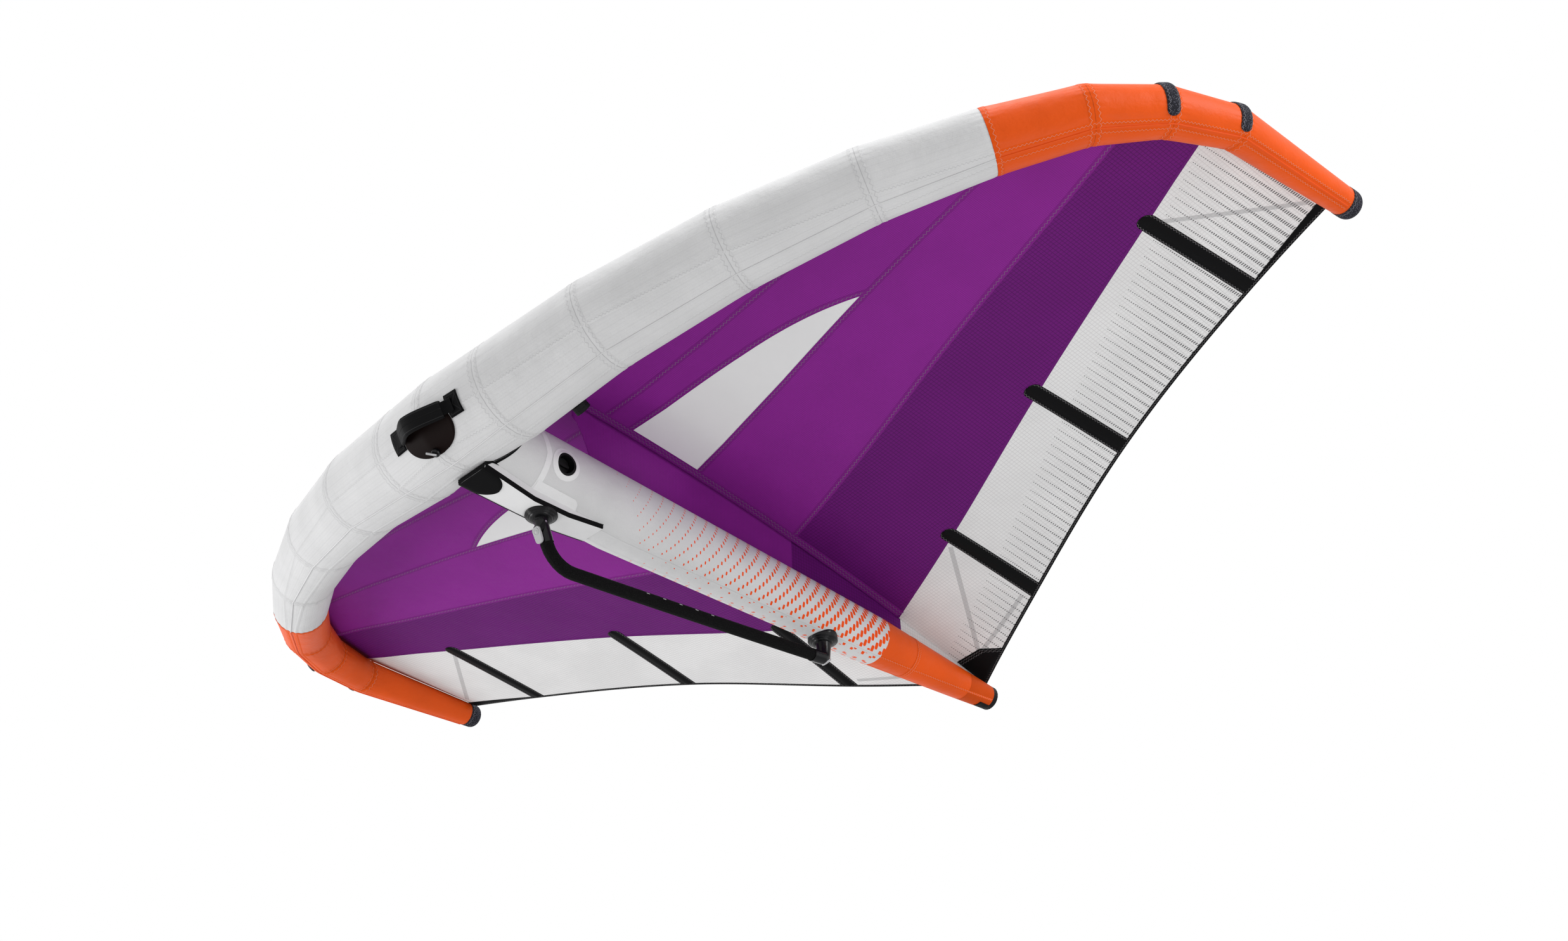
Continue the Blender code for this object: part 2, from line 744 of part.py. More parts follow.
def canopy_rows():
    """The five rows and the window of the right half, by name, with their cloth."""
    xs = [columns(end.x) for end in seam_ends]
    lines = [lambda x, n=n: seam_line(n, x) for n in range(len(seam_ends))]
    split = window_columns(seam_ends[1].x)
    tip_count = window_steps + 2
    places = (0,) + seam_end_places
    return {
        "canopy_front_panel": (cloth_grid(attach_y, lines[0], xs[0], xs[0], row_steps[0]), purple_cloth),
        "canopy_window_panel": (cloth_grid(lines[0], window_line, window_columns(seam_ends[0].x), split,
                                           row_steps[1], places[1:3]), purple_cloth),
        "window": (cloth_grid(window_line, lines[1], split[:tip_count], split[:tip_count], row_steps[1]),
                   window_film),
        "canopy_middle_panel": (cloth_grid(lines[1], lines[2], xs[1], xs[2], row_steps[2], places[2:4]),
                                purple_cloth),
        "canopy_rear_panel": (cloth_grid(lines[2], lines[3], xs[2], xs[3], row_steps[3], places[3:5]),
                              dark_purple_cloth),
        "canopy_trailing_panel": (cloth_grid(lines[3], lines[4], xs[3], xs[4], row_steps[4], places[4:6]),
                                  pale_cloth),
    }


def canopy(rows):
    for side, hand in ((-1, "left"), (1, "right")):
        for name, (lines, look) in rows.items():
            cloth_panel(f"{name}_{hand}", trimmed(lines), side, look)


def strut_web(rows):
    """Upright cloth in the middle, with a flange under the canopy."""
    def line(column):
        picked = [points[column] for name in ("canopy_front_panel", "canopy_window_panel", "window",
                                              "canopy_middle_panel", "canopy_rear_panel",
                                              "canopy_trailing_panel") for points in rows[name][0]]
        return [p.y for p in picked], [p.z for p in picked]

    middle, edge = line(0), line(1)
    under = cloth / 2 + cloth_gap
    steps = [lerp(web_front_y, web_foot_y, k / web_front_steps) for k in range(web_front_steps + 1)]
    knots = sorted({y for y in middle[0] + [strut_level_y, strut_colour_y]
                    if web_foot_y + overrun < y < web_tail_y - overrun})
    rings = []
    last = None
    for y in steps + knots + [web_tail_y]:
        if last is not None and y - last < gap:
            continue
        last = y
        top = along_table(y, unique(middle)[0], unique(middle)[1]) - under
        side_top = along_table(y, unique(edge)[0], unique(edge)[1]) - under
        foot = strut_axis(y) + strut_radius(y) + cloth_gap
        share = min((y - web_front_y) / (web_foot_y - web_front_y), 1.0)
        start = top - web_front_drop
        low = max(lerp(start, foot, share**web_front_power), foot)
        half, thick = web_thickness / 2, cloth
        ring = [(0, top), (web_seam_half, side_top), (web_seam_half, side_top - thick),
                (half, top - thick), (half, low), (-half, low), (-half, top - thick),
                (-web_seam_half, side_top - thick), (-web_seam_half, side_top)]
        rings.append([Vector((x, y, z)) for x, z in ring])
    finish("strut_web", loft(rings), purple_cloth)


def unique(table):
    """Drop the repeated points where two rows of cloth meet."""
    ys, zs = [], []
    for y, z in zip(*table):
        if not ys or y - ys[-1] > gap:
            ys.append(y)
            zs.append(z)
    return ys, zs


# Tape along the trailing edge, tail patches and battens
def edge_tape(rows):
    """One folded tape over the trailing edge from tip to tip, deeper towards the tips."""
    edge, inner = rows["canopy_trailing_panel"][0][-1], rows["canopy_trailing_panel"][0][-2]
    places, ways = [], []
    for j, point in enumerate(edge):
        way = inner[j] - point
        ways.append(way / -way.y)
        places.append(point)
    places[-1] = places[-2].lerp(places[-1], tape_end_share)
    ways[-1] = ways[-2].lerp(ways[-1], tape_end_share)
    wide_x = half_span * batten_tail_x_shares[-1]
    rings = []
    for side in (-1, 1):
        half = []
        for point, way in zip(places, ways):
            share = max(0.0, (point.x - wide_x) / (places[-1].x - wide_x))
            front = point + way * lerp(tape_depth, tape_tip_depth, share)
            lip = cloth / 2 + cloth_gap * (1 + share)
            full = lip + tape_thickness
            back = gap + tape_thickness
            ring = [(front, 0, lip), (point, gap, lip), (point, gap, -lip), (front, 0, -lip),
                    (front, 0, -full), (point, back, -full), (point, back, full), (front, 0, full)]
            half.append([mirrored(at + Vector((0, y, z)), side) for at, y, z in ring])
        rings += half[::-1] if side < 0 else half
    finish("trailing_edge_tape", loft(rings), black_cloth)


def rear_cloth(rows):
    """Lines of the two rear rows of panels of the right half as one grid."""
    return rows["canopy_rear_panel"][0] + rows["canopy_trailing_panel"][0][1:]


def under_cloth(lines, x, y, drop):
    """Point under the facets of a grid of cloth, at a point of the plan."""
    low, high = 0.0, 1.0
    for _ in range(search_steps):
        place = (low + high) / 2 * (len(lines) - 1)
        row = min(int(place), len(lines) - 2)
        line = [a.lerp(b, place - row) for a, b in zip(lines[row], lines[row + 1])]
        k = next(j for j in range(1, len(line)) if line[j].x >= x or j == len(line) - 1)
        point = line[k - 1].lerp(line[k], (x - line[k - 1].x) / (line[k].x - line[k - 1].x))
        low, high = ((low + high) / 2, high) if point.y < y else (low, (low + high) / 2)
    return Vector((x, y, point.z - drop))


def tail_patches(rows):
    """Black cloth under the canopy on both sides of the strut, in the corner of the tail."""
    lines = rear_cloth(rows)
    high = cloth / 2 + cloth_gap
    low = high + patch_thickness
    behind = tape_depth + overrun / 2
    for side, hand in ((-1, "left"), (1, "right")):
        top, bottom = [], []
        for i in range(patch_steps + 1):
            places = []
            for j in range(patch_steps + 1):
                x = lerp(web_seam_half + overrun, tail_patch_side, j / patch_steps)
                length = tail_patch_length * (1 - tail_patch_slope_share * j / patch_steps)
                places.append((x, seam_line(trailing_seam, x) - behind - length * (1 - i / patch_steps)))
            top.append([mirrored(under_cloth(lines, x, y, high), side) for x, y in places])
            bottom.append([mirrored(under_cloth(lines, x, y, low), side) for x, y in places])
        finish(f"tail_corner_patch_{hand}", sheet(top, bottom), black_cloth)


def batten_pockets(rows):
    """Three battens a side, each in a pocket sewn under the white cloth."""
    lines = rear_cloth(rows)
    high = cloth / 2 + cloth_gap
    for number in range(len(batten_front_x_shares)):
        front_x = half_span * batten_front_x_shares[number]
        tail_x = half_span * batten_tail_x_shares[number]
        front_y = root_chord * batten_front_y_shares[number]
        tail_y = seam_line(trailing_seam, tail_x) - tape_depth - pocket_tail_gap
        slope = (seam_line(trailing_seam, tail_x + pocket_width / 2) - tail_y - tape_depth
                 - pocket_tail_gap) / (pocket_width / 2)
        places = [k / pocket_steps for k in range(pocket_steps + 1)]
        places.insert(1, pocket_nose_share / pocket_steps)
        for side, hand in ((-1, "left"), (1, "right")):
            rings = []
            for share in places:
                x, y = lerp(front_x, tail_x, share), lerp(front_y, tail_y, share)
                half = pocket_width / 2 * (pocket_nose_share if share == 0 else 1)
                ring = [(-half, 0), (0, 0), (half, 0), (half, pocket_edge),
                        (batten_width / 2, pocket_thickness), (-batten_width / 2, pocket_thickness),
                        (-half, pocket_edge)]
                rings.append([mirrored(under_cloth(lines, x + a, y + a * slope * share, high + b), side)
                              for a, b in ring])
            finish(f"batten_pocket_{number + 1}_{hand}", loft(rings), black_cloth)


# Guards on the tips
def tip_guards():
    angles = list(range(guard_angles[0], guard_angles[1] + 1, 360 // tube_sides))
    for side, hand in ((-1, "left"), (1, "right")):
        for number, seam in enumerate(guard_seams):
            inner = (guard_width / 2 + guard_shift) / (seam_centre(seam) - seam_centre(seam - 1)).length
            outer = (guard_width / 2 - guard_shift) / (seam_centre(seam + 1) - seam_centre(seam)).length
            places = [side * place for place in (seam - inner, seam, seam + outer)]
            top = [[on_tube(place, angle, gap + guard_thickness) for angle in angles] for place in places]
            bottom = [[on_tube(place, angle, gap) for angle in angles] for place in places]
            finish(f"tip_guard_{number + 1}_{hand}", sheet(top, bottom), speckled_cloth)


# Handle and leash point on the front of the leading edge
def handle_point(x, height, across=0.0):
    """Point over the line of the handle; x is measured from its own middle."""
    turn = math.radians(handle_angle)
    round_tube = Vector((0, -math.sin(turn), math.cos(turn)))
    return on_tube(tube_place(handle_shift + x), handle_angle, height) + round_tube * across


def handle_height(share):
    """Height of the strap over the skin, from an anchor at -1 to the other at 1."""
    return anchor_thickness + 2 * gap + handle_bulge * (1 + math.cos(math.pi * share)) / 2


def skin_patch(name, angles, spans, thickness):
    """Flat piece sewn on the tube; at each angle it reaches over a span of x."""
    lines = []
    for height in (gap + thickness, gap):
        lines.append([[on_tube(tube_place(x), angle, height) for x in span]
                      for angle, span in zip(angles, spans)])
    finish(name, sheet(*lines), black_cloth)


def front_handle():
    half_turn = math.degrees(anchor_length / tube_diameter)
    angles = [handle_angle - half_turn, handle_angle, handle_angle + half_turn]
    for side, hand in ((-1, "left"), (1, "right")):
        middle = handle_shift + side * handle_half
        span = [middle - anchor_width / 2, middle, middle + anchor_width / 2]
        skin_patch(f"handle_anchor_{hand}", angles, [span] * len(angles), anchor_thickness)
    first, last = backing_middle - backing_angle, backing_middle + backing_angle
    step = 360 // tube_sides
    angles = [first] + [a for a in range(0, 360, step) if first < a < last] + [last]
    spans = []
    for angle in angles:
        size = math.sqrt(1 - ((angle - backing_middle) / backing_angle) ** 2)
        half = backing_half * max(size, backing_end_share)
        spans.append([handle_shift - half, (handle_shift - half) / 2, 0, (handle_shift + half) / 2,
                      handle_shift + half])
    skin_patch("handle_backing", angles, spans, backing_thickness)
    strap, skin, lining = [], [], []
    for k in range(handle_steps + 1):
        share = -1 + 2 * k / handle_steps
        x, low, half = share * handle_half, handle_height(share), handle_width / 2 * strap_share
        strap.append([handle_point(x, low, -half), handle_point(x, low + handle_strap, -half),
                      handle_point(x, low + handle_strap, half), handle_point(x, low, half)])
    for k in range(pad_steps + 1):
        share = (-1 + 2 * k / pad_steps) * handle_pad_half / handle_half
        x, base = share * handle_half, handle_height(share)
        half, thick = handle_width / 2, (handle_pad - handle_strap) / 2
        inner = handle_width / 2 * strap_share + cloth_gap
        low, high = base - cloth_gap, base + handle_strap + cloth_gap
        lining.append([handle_point(x, low, -inner), handle_point(x, high, -inner), handle_point(x, high, 0),
                       handle_point(x, high, inner), handle_point(x, low, inner), handle_point(x, low, 0)])
        skin.append([handle_point(x, low - thick / 2, -half), handle_point(x, high + thick / 2, -half),
                     handle_point(x, high + thick, 0), handle_point(x, high + thick / 2, half),
                     handle_point(x, low - thick / 2, half), handle_point(x, low - thick, 0)])
    finish("handle_strap", loft(strap), black_cloth)
    finish("handle_pad", shell(skin, lining), black_cloth)


def leash_point():
    place = tube_place(leash_x)
    out = off_tube(place, leash_angle)
    seat = on_tube(place, leash_angle, gap + backing_thickness) + out * cloth_gap
    button = [(leash_button_radius, 0), (leash_button_radius, leash_button_height - leash_button_bevel),
              (leash_button_radius - leash_button_bevel, leash_button_height)]
    finish("leash_button", turned(button, boom_sides, seat, out), black_plastic)
    eye = seat + out * (leash_button_height + gap + leash_pin_radius)
    carrier = pivot("leash_pin_pivot", eye)
    along = (Vector((-1, 0, 0)) + out.cross(Vector((1, 0, 0)))).normalized()
    along = (along - out * along.dot(out)).normalized()
    start = eye - along * leash_button_radius / 2
    finish("leash_pin", bar(start, start + along * leash_pin_length, leash_pin_radius, pin_sides),
           grey_plastic, carrier)


# Valves
def edge_valve():
    seat, out = edge_valve_axis()
    bore = edge_valve_stem - edge_valve_wall
    base = [(bore, -edge_valve_depth), (edge_valve_stem, -edge_valve_depth), (edge_valve_stem, gap),
            (edge_valve_radius, gap), (edge_valve_radius, edge_valve_height), (bore, edge_valve_height)]
    finish("edge_valve_base", turned(base, valve_sides, seat, out, bored=True), black_plastic)
    lid = edge_valve_height + gap
    cap = [(bore - 2 * gap, 0), (bore - 2 * gap, lid), (edge_valve_radius, lid),
           (edge_valve_radius, lid + edge_cap_height)]
    carrier = pivot("edge_valve_cap_pivot", seat + out * lid)
    finish("edge_valve_cap", turned(cap, valve_sides, seat, out), black_plastic, carrier)


def strut_valve():
    """Cup that is welded into the strut, with a rim that follows the round of the skin."""
    seat, out, along = strut_valve_seat()
    across = along.cross(out)
    radius = strut_radius(strut_valve_y)

    def ring(size, height, round_skin=True):
        points = []
        for n in range(tube_sides):
            turn = 2 * math.pi * n / tube_sides
            side, back = size * math.cos(turn), size * math.sin(turn)
            drop = math.sqrt(radius**2 - side**2) - radius if round_skin else 0.0
            points.append(seat + across * side + along * back + out * (height + drop))
        return points

    bore = strut_valve_radius - strut_valve_wall
    floor = strut_valve_depth - strut_valve_wall
    high = cloth_gap + strut_valve_rim_height
    rings = [ring(bore, -floor, False), ring(bore, high), ring(strut_valve_rim, high),
             ring(strut_valve_rim, cloth_gap), ring(strut_valve_radius, cloth_gap),
             ring(strut_valve_radius, -strut_valve_depth, False)]
    finish("strut_valve_cup", loft(rings), black_plastic)
    carrier = pivot("strut_valve_plug_pivot", seat - out * floor)
    low = -floor + gap
    plug = [(strut_plug_radius, low), (strut_plug_radius, low + strut_plug_height)]
    body = turned(plug, tube_sides, seat, out)
    grip = bmesh.new()
    top = low + strut_plug_height
    half, wide = strut_plug_bar / 2, strut_plug_radius * plug_bar_share
    box = [[seat + out * h + across * a + along * b for a, b in ((-half, -wide), (half, -wide), (half, wide),
                                                                 (-half, wide))]
           for h in (top - overrun / 2, top + strut_plug_bar)]
    add_loft(grip, box)
    finish("strut_valve_plug", body, black_plastic, carrier,
           union=guide("strut_valve_plug_bar", grip, carrier))


# Fairing and mounts
def fairing_floor(y):
    return along_table(y, (fairing_front_y, fairing_flat_y, fairing_level_y, fairing_tail_y),
                       (fairing_front_z, fairing_flat_z, fairing_flat_z, fairing_tail_z))


def fairing_width(y):
    return along_table(y, (fairing_front_y, fairing_flat_y, fairing_tail_y),
                       (fairing_half, lerp(fairing_half, fairing_tail_half, fairing_waist_share),
                        fairing_tail_half))


def edge_floor(x, y):
    """Underside of the leading edge tube at a point of the plan, or zero behind it."""
    middle = on_tube(tube_place(x), 0, -seam_radius(0))
    reach = seam_radius(0)
    return middle.z - math.sqrt(reach**2 - (y - middle.y)**2) if abs(y - middle.y) < reach else 0.0


def fairing():
    ys = [lerp(fairing_front_y, fairing_flat_y, k / fairing_steps) for k in range(fairing_steps)]
    ys += [fairing_flat_y, fairing_level_y, fairing_tail_y]
    top, bottom = [], []
    for y in ys:
        half, steps = fairing_width(y), range(-fairing_columns, fairing_columns + 1)
        xs = [strut_radius(y) * math.sin(2 * math.pi * n / strut_sides) for n in steps]
        xs = [min(max(x, -half), half) for x in xs]
        top.append([Vector((x, y, min(strut_floor(x, y), edge_floor(x, y)) - cloth_gap)) for x in xs])
        bottom.append([Vector((x, y, fairing_floor(y))) for x in xs])
    finish("boom_bridge", sheet(top, bottom), white_cloth, smooth=50)
    top, bottom = [], []
    for k in range(tongue_steps + 1):
        y = fairing_front_y + tongue_length * k / tongue_steps
        half = fairing_width(y) * (1 if k < tongue_steps else tongue_nose_share)
        for lines, drop in ((top, gap), (bottom, gap + tongue_thickness)):
            lines.append([Vector((x, y, fairing_floor(y) - drop)) for x in (-half, 0, half)])
    finish("bridge_tongue", sheet(top, bottom), black_plastic)


def mount_steps(base):
    """Radius and height of the stepped face of a mount, from its base down."""
    steps = []
    for k, share in enumerate(mount_step_shares):
        top = base - mount_step * k
        steps += [(mount_radius * share, top), (mount_radius * share, top - mount_step)]
    return steps


def front_mount():
    base = fairing_flat_z - gap
    profile = [(front_bore, base)] + mount_steps(base)
    profile.append((front_bore, profile[-1][1]))
    finish("front_mount", turned(profile, mount_sides, (0, front_mount_y, 0), (0, 0, 1), bored=True),
           black_plastic)


def rear_skin_z():
    return strut_axis(rear_mount_y) - strut_radius(rear_mount_y)


def rear_axis_z():
    return rear_skin_z() - rear_axis_drop


def rear_mount():
    base = rear_skin_z() - rear_saddle + mount_step
    rings = []
    for k in range(saddle_rings + 1):
        size = lerp(rear_bore, mount_radius, k / saddle_rings)
        ring = []
        for n in range(mount_sides):
            turn = 2 * math.pi * n / mount_sides
            x, y = size * math.cos(turn), rear_mount_y + size * math.sin(turn)
            ring.append(Vector((x, y, strut_floor(x, y) - cloth_gap - gap)))
        rings.append(ring)
    for size, height in mount_steps(base)[1:] + [(rear_bore, base - mount_step * len(mount_step_shares))]:
        rings.append([Vector((size * math.cos(2 * math.pi * n / mount_sides),
                              rear_mount_y + size * math.sin(2 * math.pi * n / mount_sides), height))
                      for n in range(mount_sides)])
    finish("rear_mount", loft(rings, wrap=True), black_plastic)
    z = rear_skin_z() - rear_pivot_drop
    half = rear_bore - 2 * gap
    finish("rear_hinge_pin", bar((-half, rear_mount_y, z), (half, rear_mount_y, z), hinge_pin_radius,
                                 pin_sides), alloy)


# Boom
def fillet(before, corner, after, radius, steps):
    """Points of an arc that rounds a corner of a path."""
    into, out = (corner - before).normalized(), (after - corner).normalized()
    turn = into.angle(out)
    reach = radius * math.tan(turn / 2)
    start = corner - into * reach
    middle = corner + (out - into).normalized() * (radius / math.cos(turn / 2))
    normal = into.cross(out).normalized()
    turns = [Matrix.Rotation(turn * k / steps, 3, normal) for k in range(steps + 1)]
    return [middle + turned_by @ (start - middle) for turned_by in turns]


def boom_path():
    """Middle line of the boom, from the top of its front end to the rear mount."""
    top = Vector((0, front_mount_y, fairing_flat_z - mount_step / 2))
    bend = Vector((0, front_mount_y, neck_turn_z))
    corner = Vector((0, corner_y, corner_z))
    end = Vector((0, rear_mount_y, rear_axis_z()))
    elbow = fillet(bend, corner, end, elbow_radius, elbow_steps)
    run = []
    for k in range(1, boom_steps + 1):
        share = k / boom_steps
        point = elbow[-1].lerp(end, share)
        run.append(point + Vector((0, 0, 4 * share * (1 - share) * boom_bow)))
    return [top] + fillet(top, bend, corner, neck_turn_radius, neck_steps) + elbow + run


path = boom_path()
path_lengths = [0.0]
for before, after in zip(path, path[1:]):
    path_lengths.append(path_lengths[-1] + (after - before).length)
path_end = path_lengths[-1]


def boom_at(distance):
    """Point of the boom's middle line; past its end the line runs on straight."""
    for k in range(len(path) - 1):
        if distance <= path_lengths[k + 1] or k == len(path) - 2:
            share = (distance - path_lengths[k]) / (path_lengths[k + 1] - path_lengths[k])
            return path[k].lerp(path[k + 1], share)


def boom_way(distance):
    step = boom_radius / 4
    return (boom_at(distance + step) - boom_at(distance - step)).normalized()


def boom_rings(start, end, radius):
    """Rings across the boom between two distances, one at each bend of its line."""
    stops = [start] + [s for s in path_lengths if start + gap < s < end - gap] + [end]
    rings = []
    for stop in stops:
        way = boom_way(stop)
        side = Vector((1, 0, 0))
        up = way.cross(side)
        turns = [2 * math.pi * n / boom_sides for n in range(boom_sides)]
        rings.append([boom_at(stop) + (side * math.cos(t) + up * math.sin(t)) * radius for t in turns])
    return rings


def boom():
    rear = Vector((0, rear_mount_y, rear_skin_z() - rear_pivot_drop))
    carrier = pivot("boom_pivot", rear)
    tube_start = neck_turn_radius
    socket = tube_start - gap
    tube_end = path_end - barrel_socket_end
    inner = boom_radius - boom_wall
    finish("boom_tube", shell(boom_rings(tube_start, tube_end, boom_radius),
                              boom_rings(tube_start, tube_end, inner)), alloy, carrier)
    start, end = grip_start, path_end - barrel_front
    finish("boom_grip", shell(boom_rings(start, end, grip_radius),
                              boom_rings(start, end, boom_radius + gap)), grip_foam, carrier)
    pin_hole = guide("lever_pin_hole", bar((-grip_radius * 2, front_mount_y, neck_turn_z),
                                           (grip_radius * 2, front_mount_y, neck_turn_z),
                                           lever_pin_radius + gap, pin_sides), carrier)
    collar = mount_step * len(mount_step_shares)
    outer = boom_rings(0, collar, spigot_radius) + boom_rings(collar + gap, grip_start - gap, neck_radius)
    bore = boom_rings(socket, grip_start - gap, boom_radius + gap)
    finish("front_fitting", loft(outer + bore[::-1]), black_plastic, carrier, cutters=[pin_hole])
    front, tail = path_end - barrel_front + gap, path_end + barrel_tail
    barrel = boom_rings(tail, tail, barrel_radius)[:1] + boom_rings(front, front, barrel_radius)[:1]
    barrel += boom_rings(front, front, boom_radius + gap)[:1]
    barrel += boom_rings(tube_end + gap, tube_end + gap, boom_radius + gap)[:1]
    way = boom_way(path_end)
    low = rear_axis_z()
    neck = [(rear_neck_radius, 0), (rear_neck_top, rear.z - low - hinge_pin_radius),
            (rear_head_radius, rear.z - low + rear_head)]
    stem = guide("rear_neck", turned(neck, boom_sides, (0, rear_mount_y, low), (0, 0, 1)), carrier)
    reach = rear_neck_radius * 2
    hinge_hole = guide("hinge_pin_hole", bar((-reach, rear.y, rear.z), (reach, rear.y, rear.z),
                                             hinge_pin_radius + gap, pin_sides), carrier)
    finish("rear_fitting", loft(barrel), black_plastic, carrier, cutters=[hinge_hole], union=stem)
    seat = boom_at(tail + gap)
    cap = [(barrel_radius - cap_bevel, 0), (barrel_radius - cap_bevel, cap_thickness - cap_bevel),
           (barrel_radius - 2 * cap_bevel, cap_thickness)]
    finish("boom_end_cap", turned(cap, boom_sides, seat, way), grey_plastic, carrier)
    latch_lever(carrier)


def latch_lever(boom_carrier):
    """Lever on the front fitting: a plate along the front of the neck, on two eyes beside it."""
    hub = Vector((0, front_mount_y, neck_turn_z))
    carrier = pivot("latch_lever_pivot", hub, boom_carrier)
    lean = (Vector((0, corner_y, corner_z)) - hub).normalized()
    ahead = lean.cross(Vector((1, 0, 0)))
    inner = neck_radius + 2 * gap
    outer = inner + lever_cheek

    def at(x, down, out):
        return hub + Vector((x, 0, 0)) + lean * down + ahead * out

    eye = [(lever_eye * math.cos(math.radians(a)), lever_eye * math.sin(math.radians(a)))
           for a in range(0, 181, 30)]
    bar_end = lever_shoulder + lever_bar

    def cheek(start, end):
        return loft([[hub + Vector((x, y, z)) for y, z in eye]
                     + [at(x, lever_shoulder, outer), at(x, bar_end, outer), at(x, bar_end, inner)]
                     for x in (start, end)])

    def plate(stops):
        return loft([[at(-half, down, inner), at(half, down, inner), at(half, down, outer),
                      at(-half, down, outer)] for half, down in stops])

    half = lever_width / 2
    across = plate([(outer - gap, lever_shoulder), (outer - gap, bar_end)])
    blade = plate([(half, lever_shoulder), (half, lever_length - lever_corner),
                   (half * lever_nose_share, lever_length)])
    hole = guide("lever_eye_hole", bar(hub - Vector((outer * 2, 0, 0)), hub + Vector((outer * 2, 0, 0)),
                                       lever_pin_radius + gap, pin_sides), carrier)
    body = finish("latch_lever", cheek(inner, outer), grey_plastic, carrier,
                  union=guide("lever_left_cheek", cheek(-outer, -inner), carrier))
    for name, mesh in (("lever_bar_body", across), ("lever_blade_body", blade)):
        join = body.modifiers.new(name, "BOOLEAN")
        join.operation = "UNION"
        join.object = guide(name, mesh, carrier)
    cut = body.modifiers.new("cut_eyes", "BOOLEAN")
    cut.operation = "DIFFERENCE"
    cut.object = hole
    finish("latch_pin", bar(hub - Vector((outer, 0, 0)), hub + Vector((outer, 0, 0)), lever_pin_radius,
                            pin_sides), alloy, boom_carrier)


edge_sleeves()
edge_bladder()
strut_tubes()
canopy_pieces = canopy_rows()
canopy(canopy_pieces)
strut_web(canopy_pieces)
edge_tape(canopy_pieces)
tail_patches(canopy_pieces)
batten_pockets(canopy_pieces)
tip_guards()
front_handle()
leash_point()
edge_valve()
strut_valve()
fairing()
front_mount()
rear_mount()
boom()

grip_middle = boom_at(lerp(grip_start, path_end - barrel_front, grip_middle_share))
wing_frame.location = -grip_middle
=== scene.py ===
"""Looks of an inflatable hand wing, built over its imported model. Sizes are in metres."""
import math

import bmesh
import bpy
from mathutils import Matrix, Vector


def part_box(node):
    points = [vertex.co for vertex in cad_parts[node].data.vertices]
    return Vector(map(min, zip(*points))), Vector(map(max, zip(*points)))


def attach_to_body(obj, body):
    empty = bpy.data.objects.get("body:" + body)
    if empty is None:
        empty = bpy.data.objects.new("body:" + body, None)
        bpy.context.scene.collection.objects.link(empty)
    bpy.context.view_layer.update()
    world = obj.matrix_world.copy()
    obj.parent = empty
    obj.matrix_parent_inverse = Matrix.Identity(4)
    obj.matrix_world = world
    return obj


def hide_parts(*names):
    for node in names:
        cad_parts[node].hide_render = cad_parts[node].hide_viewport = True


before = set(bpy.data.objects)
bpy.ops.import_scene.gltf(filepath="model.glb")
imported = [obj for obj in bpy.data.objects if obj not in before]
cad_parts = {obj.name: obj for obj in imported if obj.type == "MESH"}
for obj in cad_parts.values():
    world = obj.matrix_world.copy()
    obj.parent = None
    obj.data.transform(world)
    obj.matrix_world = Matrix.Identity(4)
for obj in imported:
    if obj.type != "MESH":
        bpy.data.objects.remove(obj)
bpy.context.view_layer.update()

# The wing is seen from below and in front of its right half, as in the photograph.
# Its places are given from the middle of the leading edge, on the centre line of the strut,
# and the model's own frame lies lower and further back, at the middle of the boom's grip.
ROOT_CHORD = 1.75
STRUT_TAIL_Y, END_CAP_LENGTH = ROOT_CHORD - 0.008, 0.019
cap_low, cap_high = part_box("strut_end_cap")
ORIGIN = Vector((0, STRUT_TAIL_Y + END_CAP_LENGTH + 0.00015 - cap_high.y, -(cap_low.z + cap_high.z) / 2))

camera = bpy.data.objects.new("camera", bpy.data.cameras.new("camera"))
bpy.context.scene.collection.objects.link(camera)
right = Vector((0.7018, 0.7118, -0.0297)).normalized()
ahead = -right.cross(Vector((0.4258, -0.3856, 0.8185))).normalized()
up = right.cross(ahead)
camera.matrix_world = Matrix(((right.x, up.x, -ahead.x, 0), (right.y, up.y, -ahead.y, 0),
                              (right.z, up.z, -ahead.z, 0), (0, 0, 0, 1)))
camera.location = Vector((3.161, -2.2355, -2.7903)) - ORIGIN
camera.data.lens, camera.data.sensor_width = 50, 36
camera.data.clip_start, camera.data.clip_end = 0.05, 60
bpy.context.scene.camera = camera


# Leading edge: a tube of woven polyester, blown up hard by a bladder inside, that carries the wing.
# It is white between orange tips and is cut in nine straight stretches a side, which are joined
# by taped seams with a zigzag on either side; the cloth puckers a little beside each seam.
HALF_SPAN, TIP_SWEEP, TIP_RISE, TUBE_RADIUS, TUBE_LIFT = 1.55, 1.224, 0.355, 0.115, 0.034
SEAM_X = (0, 0.101, 0.267, 0.463, 0.642, 0.781, 0.885, 0.950, 0.989, 1)
SEAM_Y = (0, 0.014, 0.0445, 0.1186, 0.2165, 0.3223, 0.4261, 0.5338, 0.6663, 1)
SEAM_Z = (0, 0.031, 0.163, 0.355, 0.535, 0.682, 0.808, 0.879, 0.935, 1)
SEAM_R = (1, 1, 0.922, 0.826, 0.713, 0.626, 0.557, 0.487, 0.417, 0.287)
TIP, COLOUR_SEAM = 9, 5


def lerp(a, b, share):
    return a + (b - a) * share


def steps(low, high, count):
    return [lerp(low, high, n / count) for n in range(count + 1)]


def table(x, places, values):
    """Value at x on the straight lines through the places."""
    k = next((k for k in range(len(places) - 2) if x <= places[k + 1]), len(places) - 2)
    return lerp(values[k], values[k + 1], (x - places[k]) / (places[k + 1] - places[k]))


def seam_centre(k):
    n, side = abs(k), -1 if k < 0 else 1
    return Vector((side * HALF_SPAN * SEAM_X[n], TIP_SWEEP * SEAM_Y[n], TUBE_LIFT + TIP_RISE * SEAM_Z[n]))


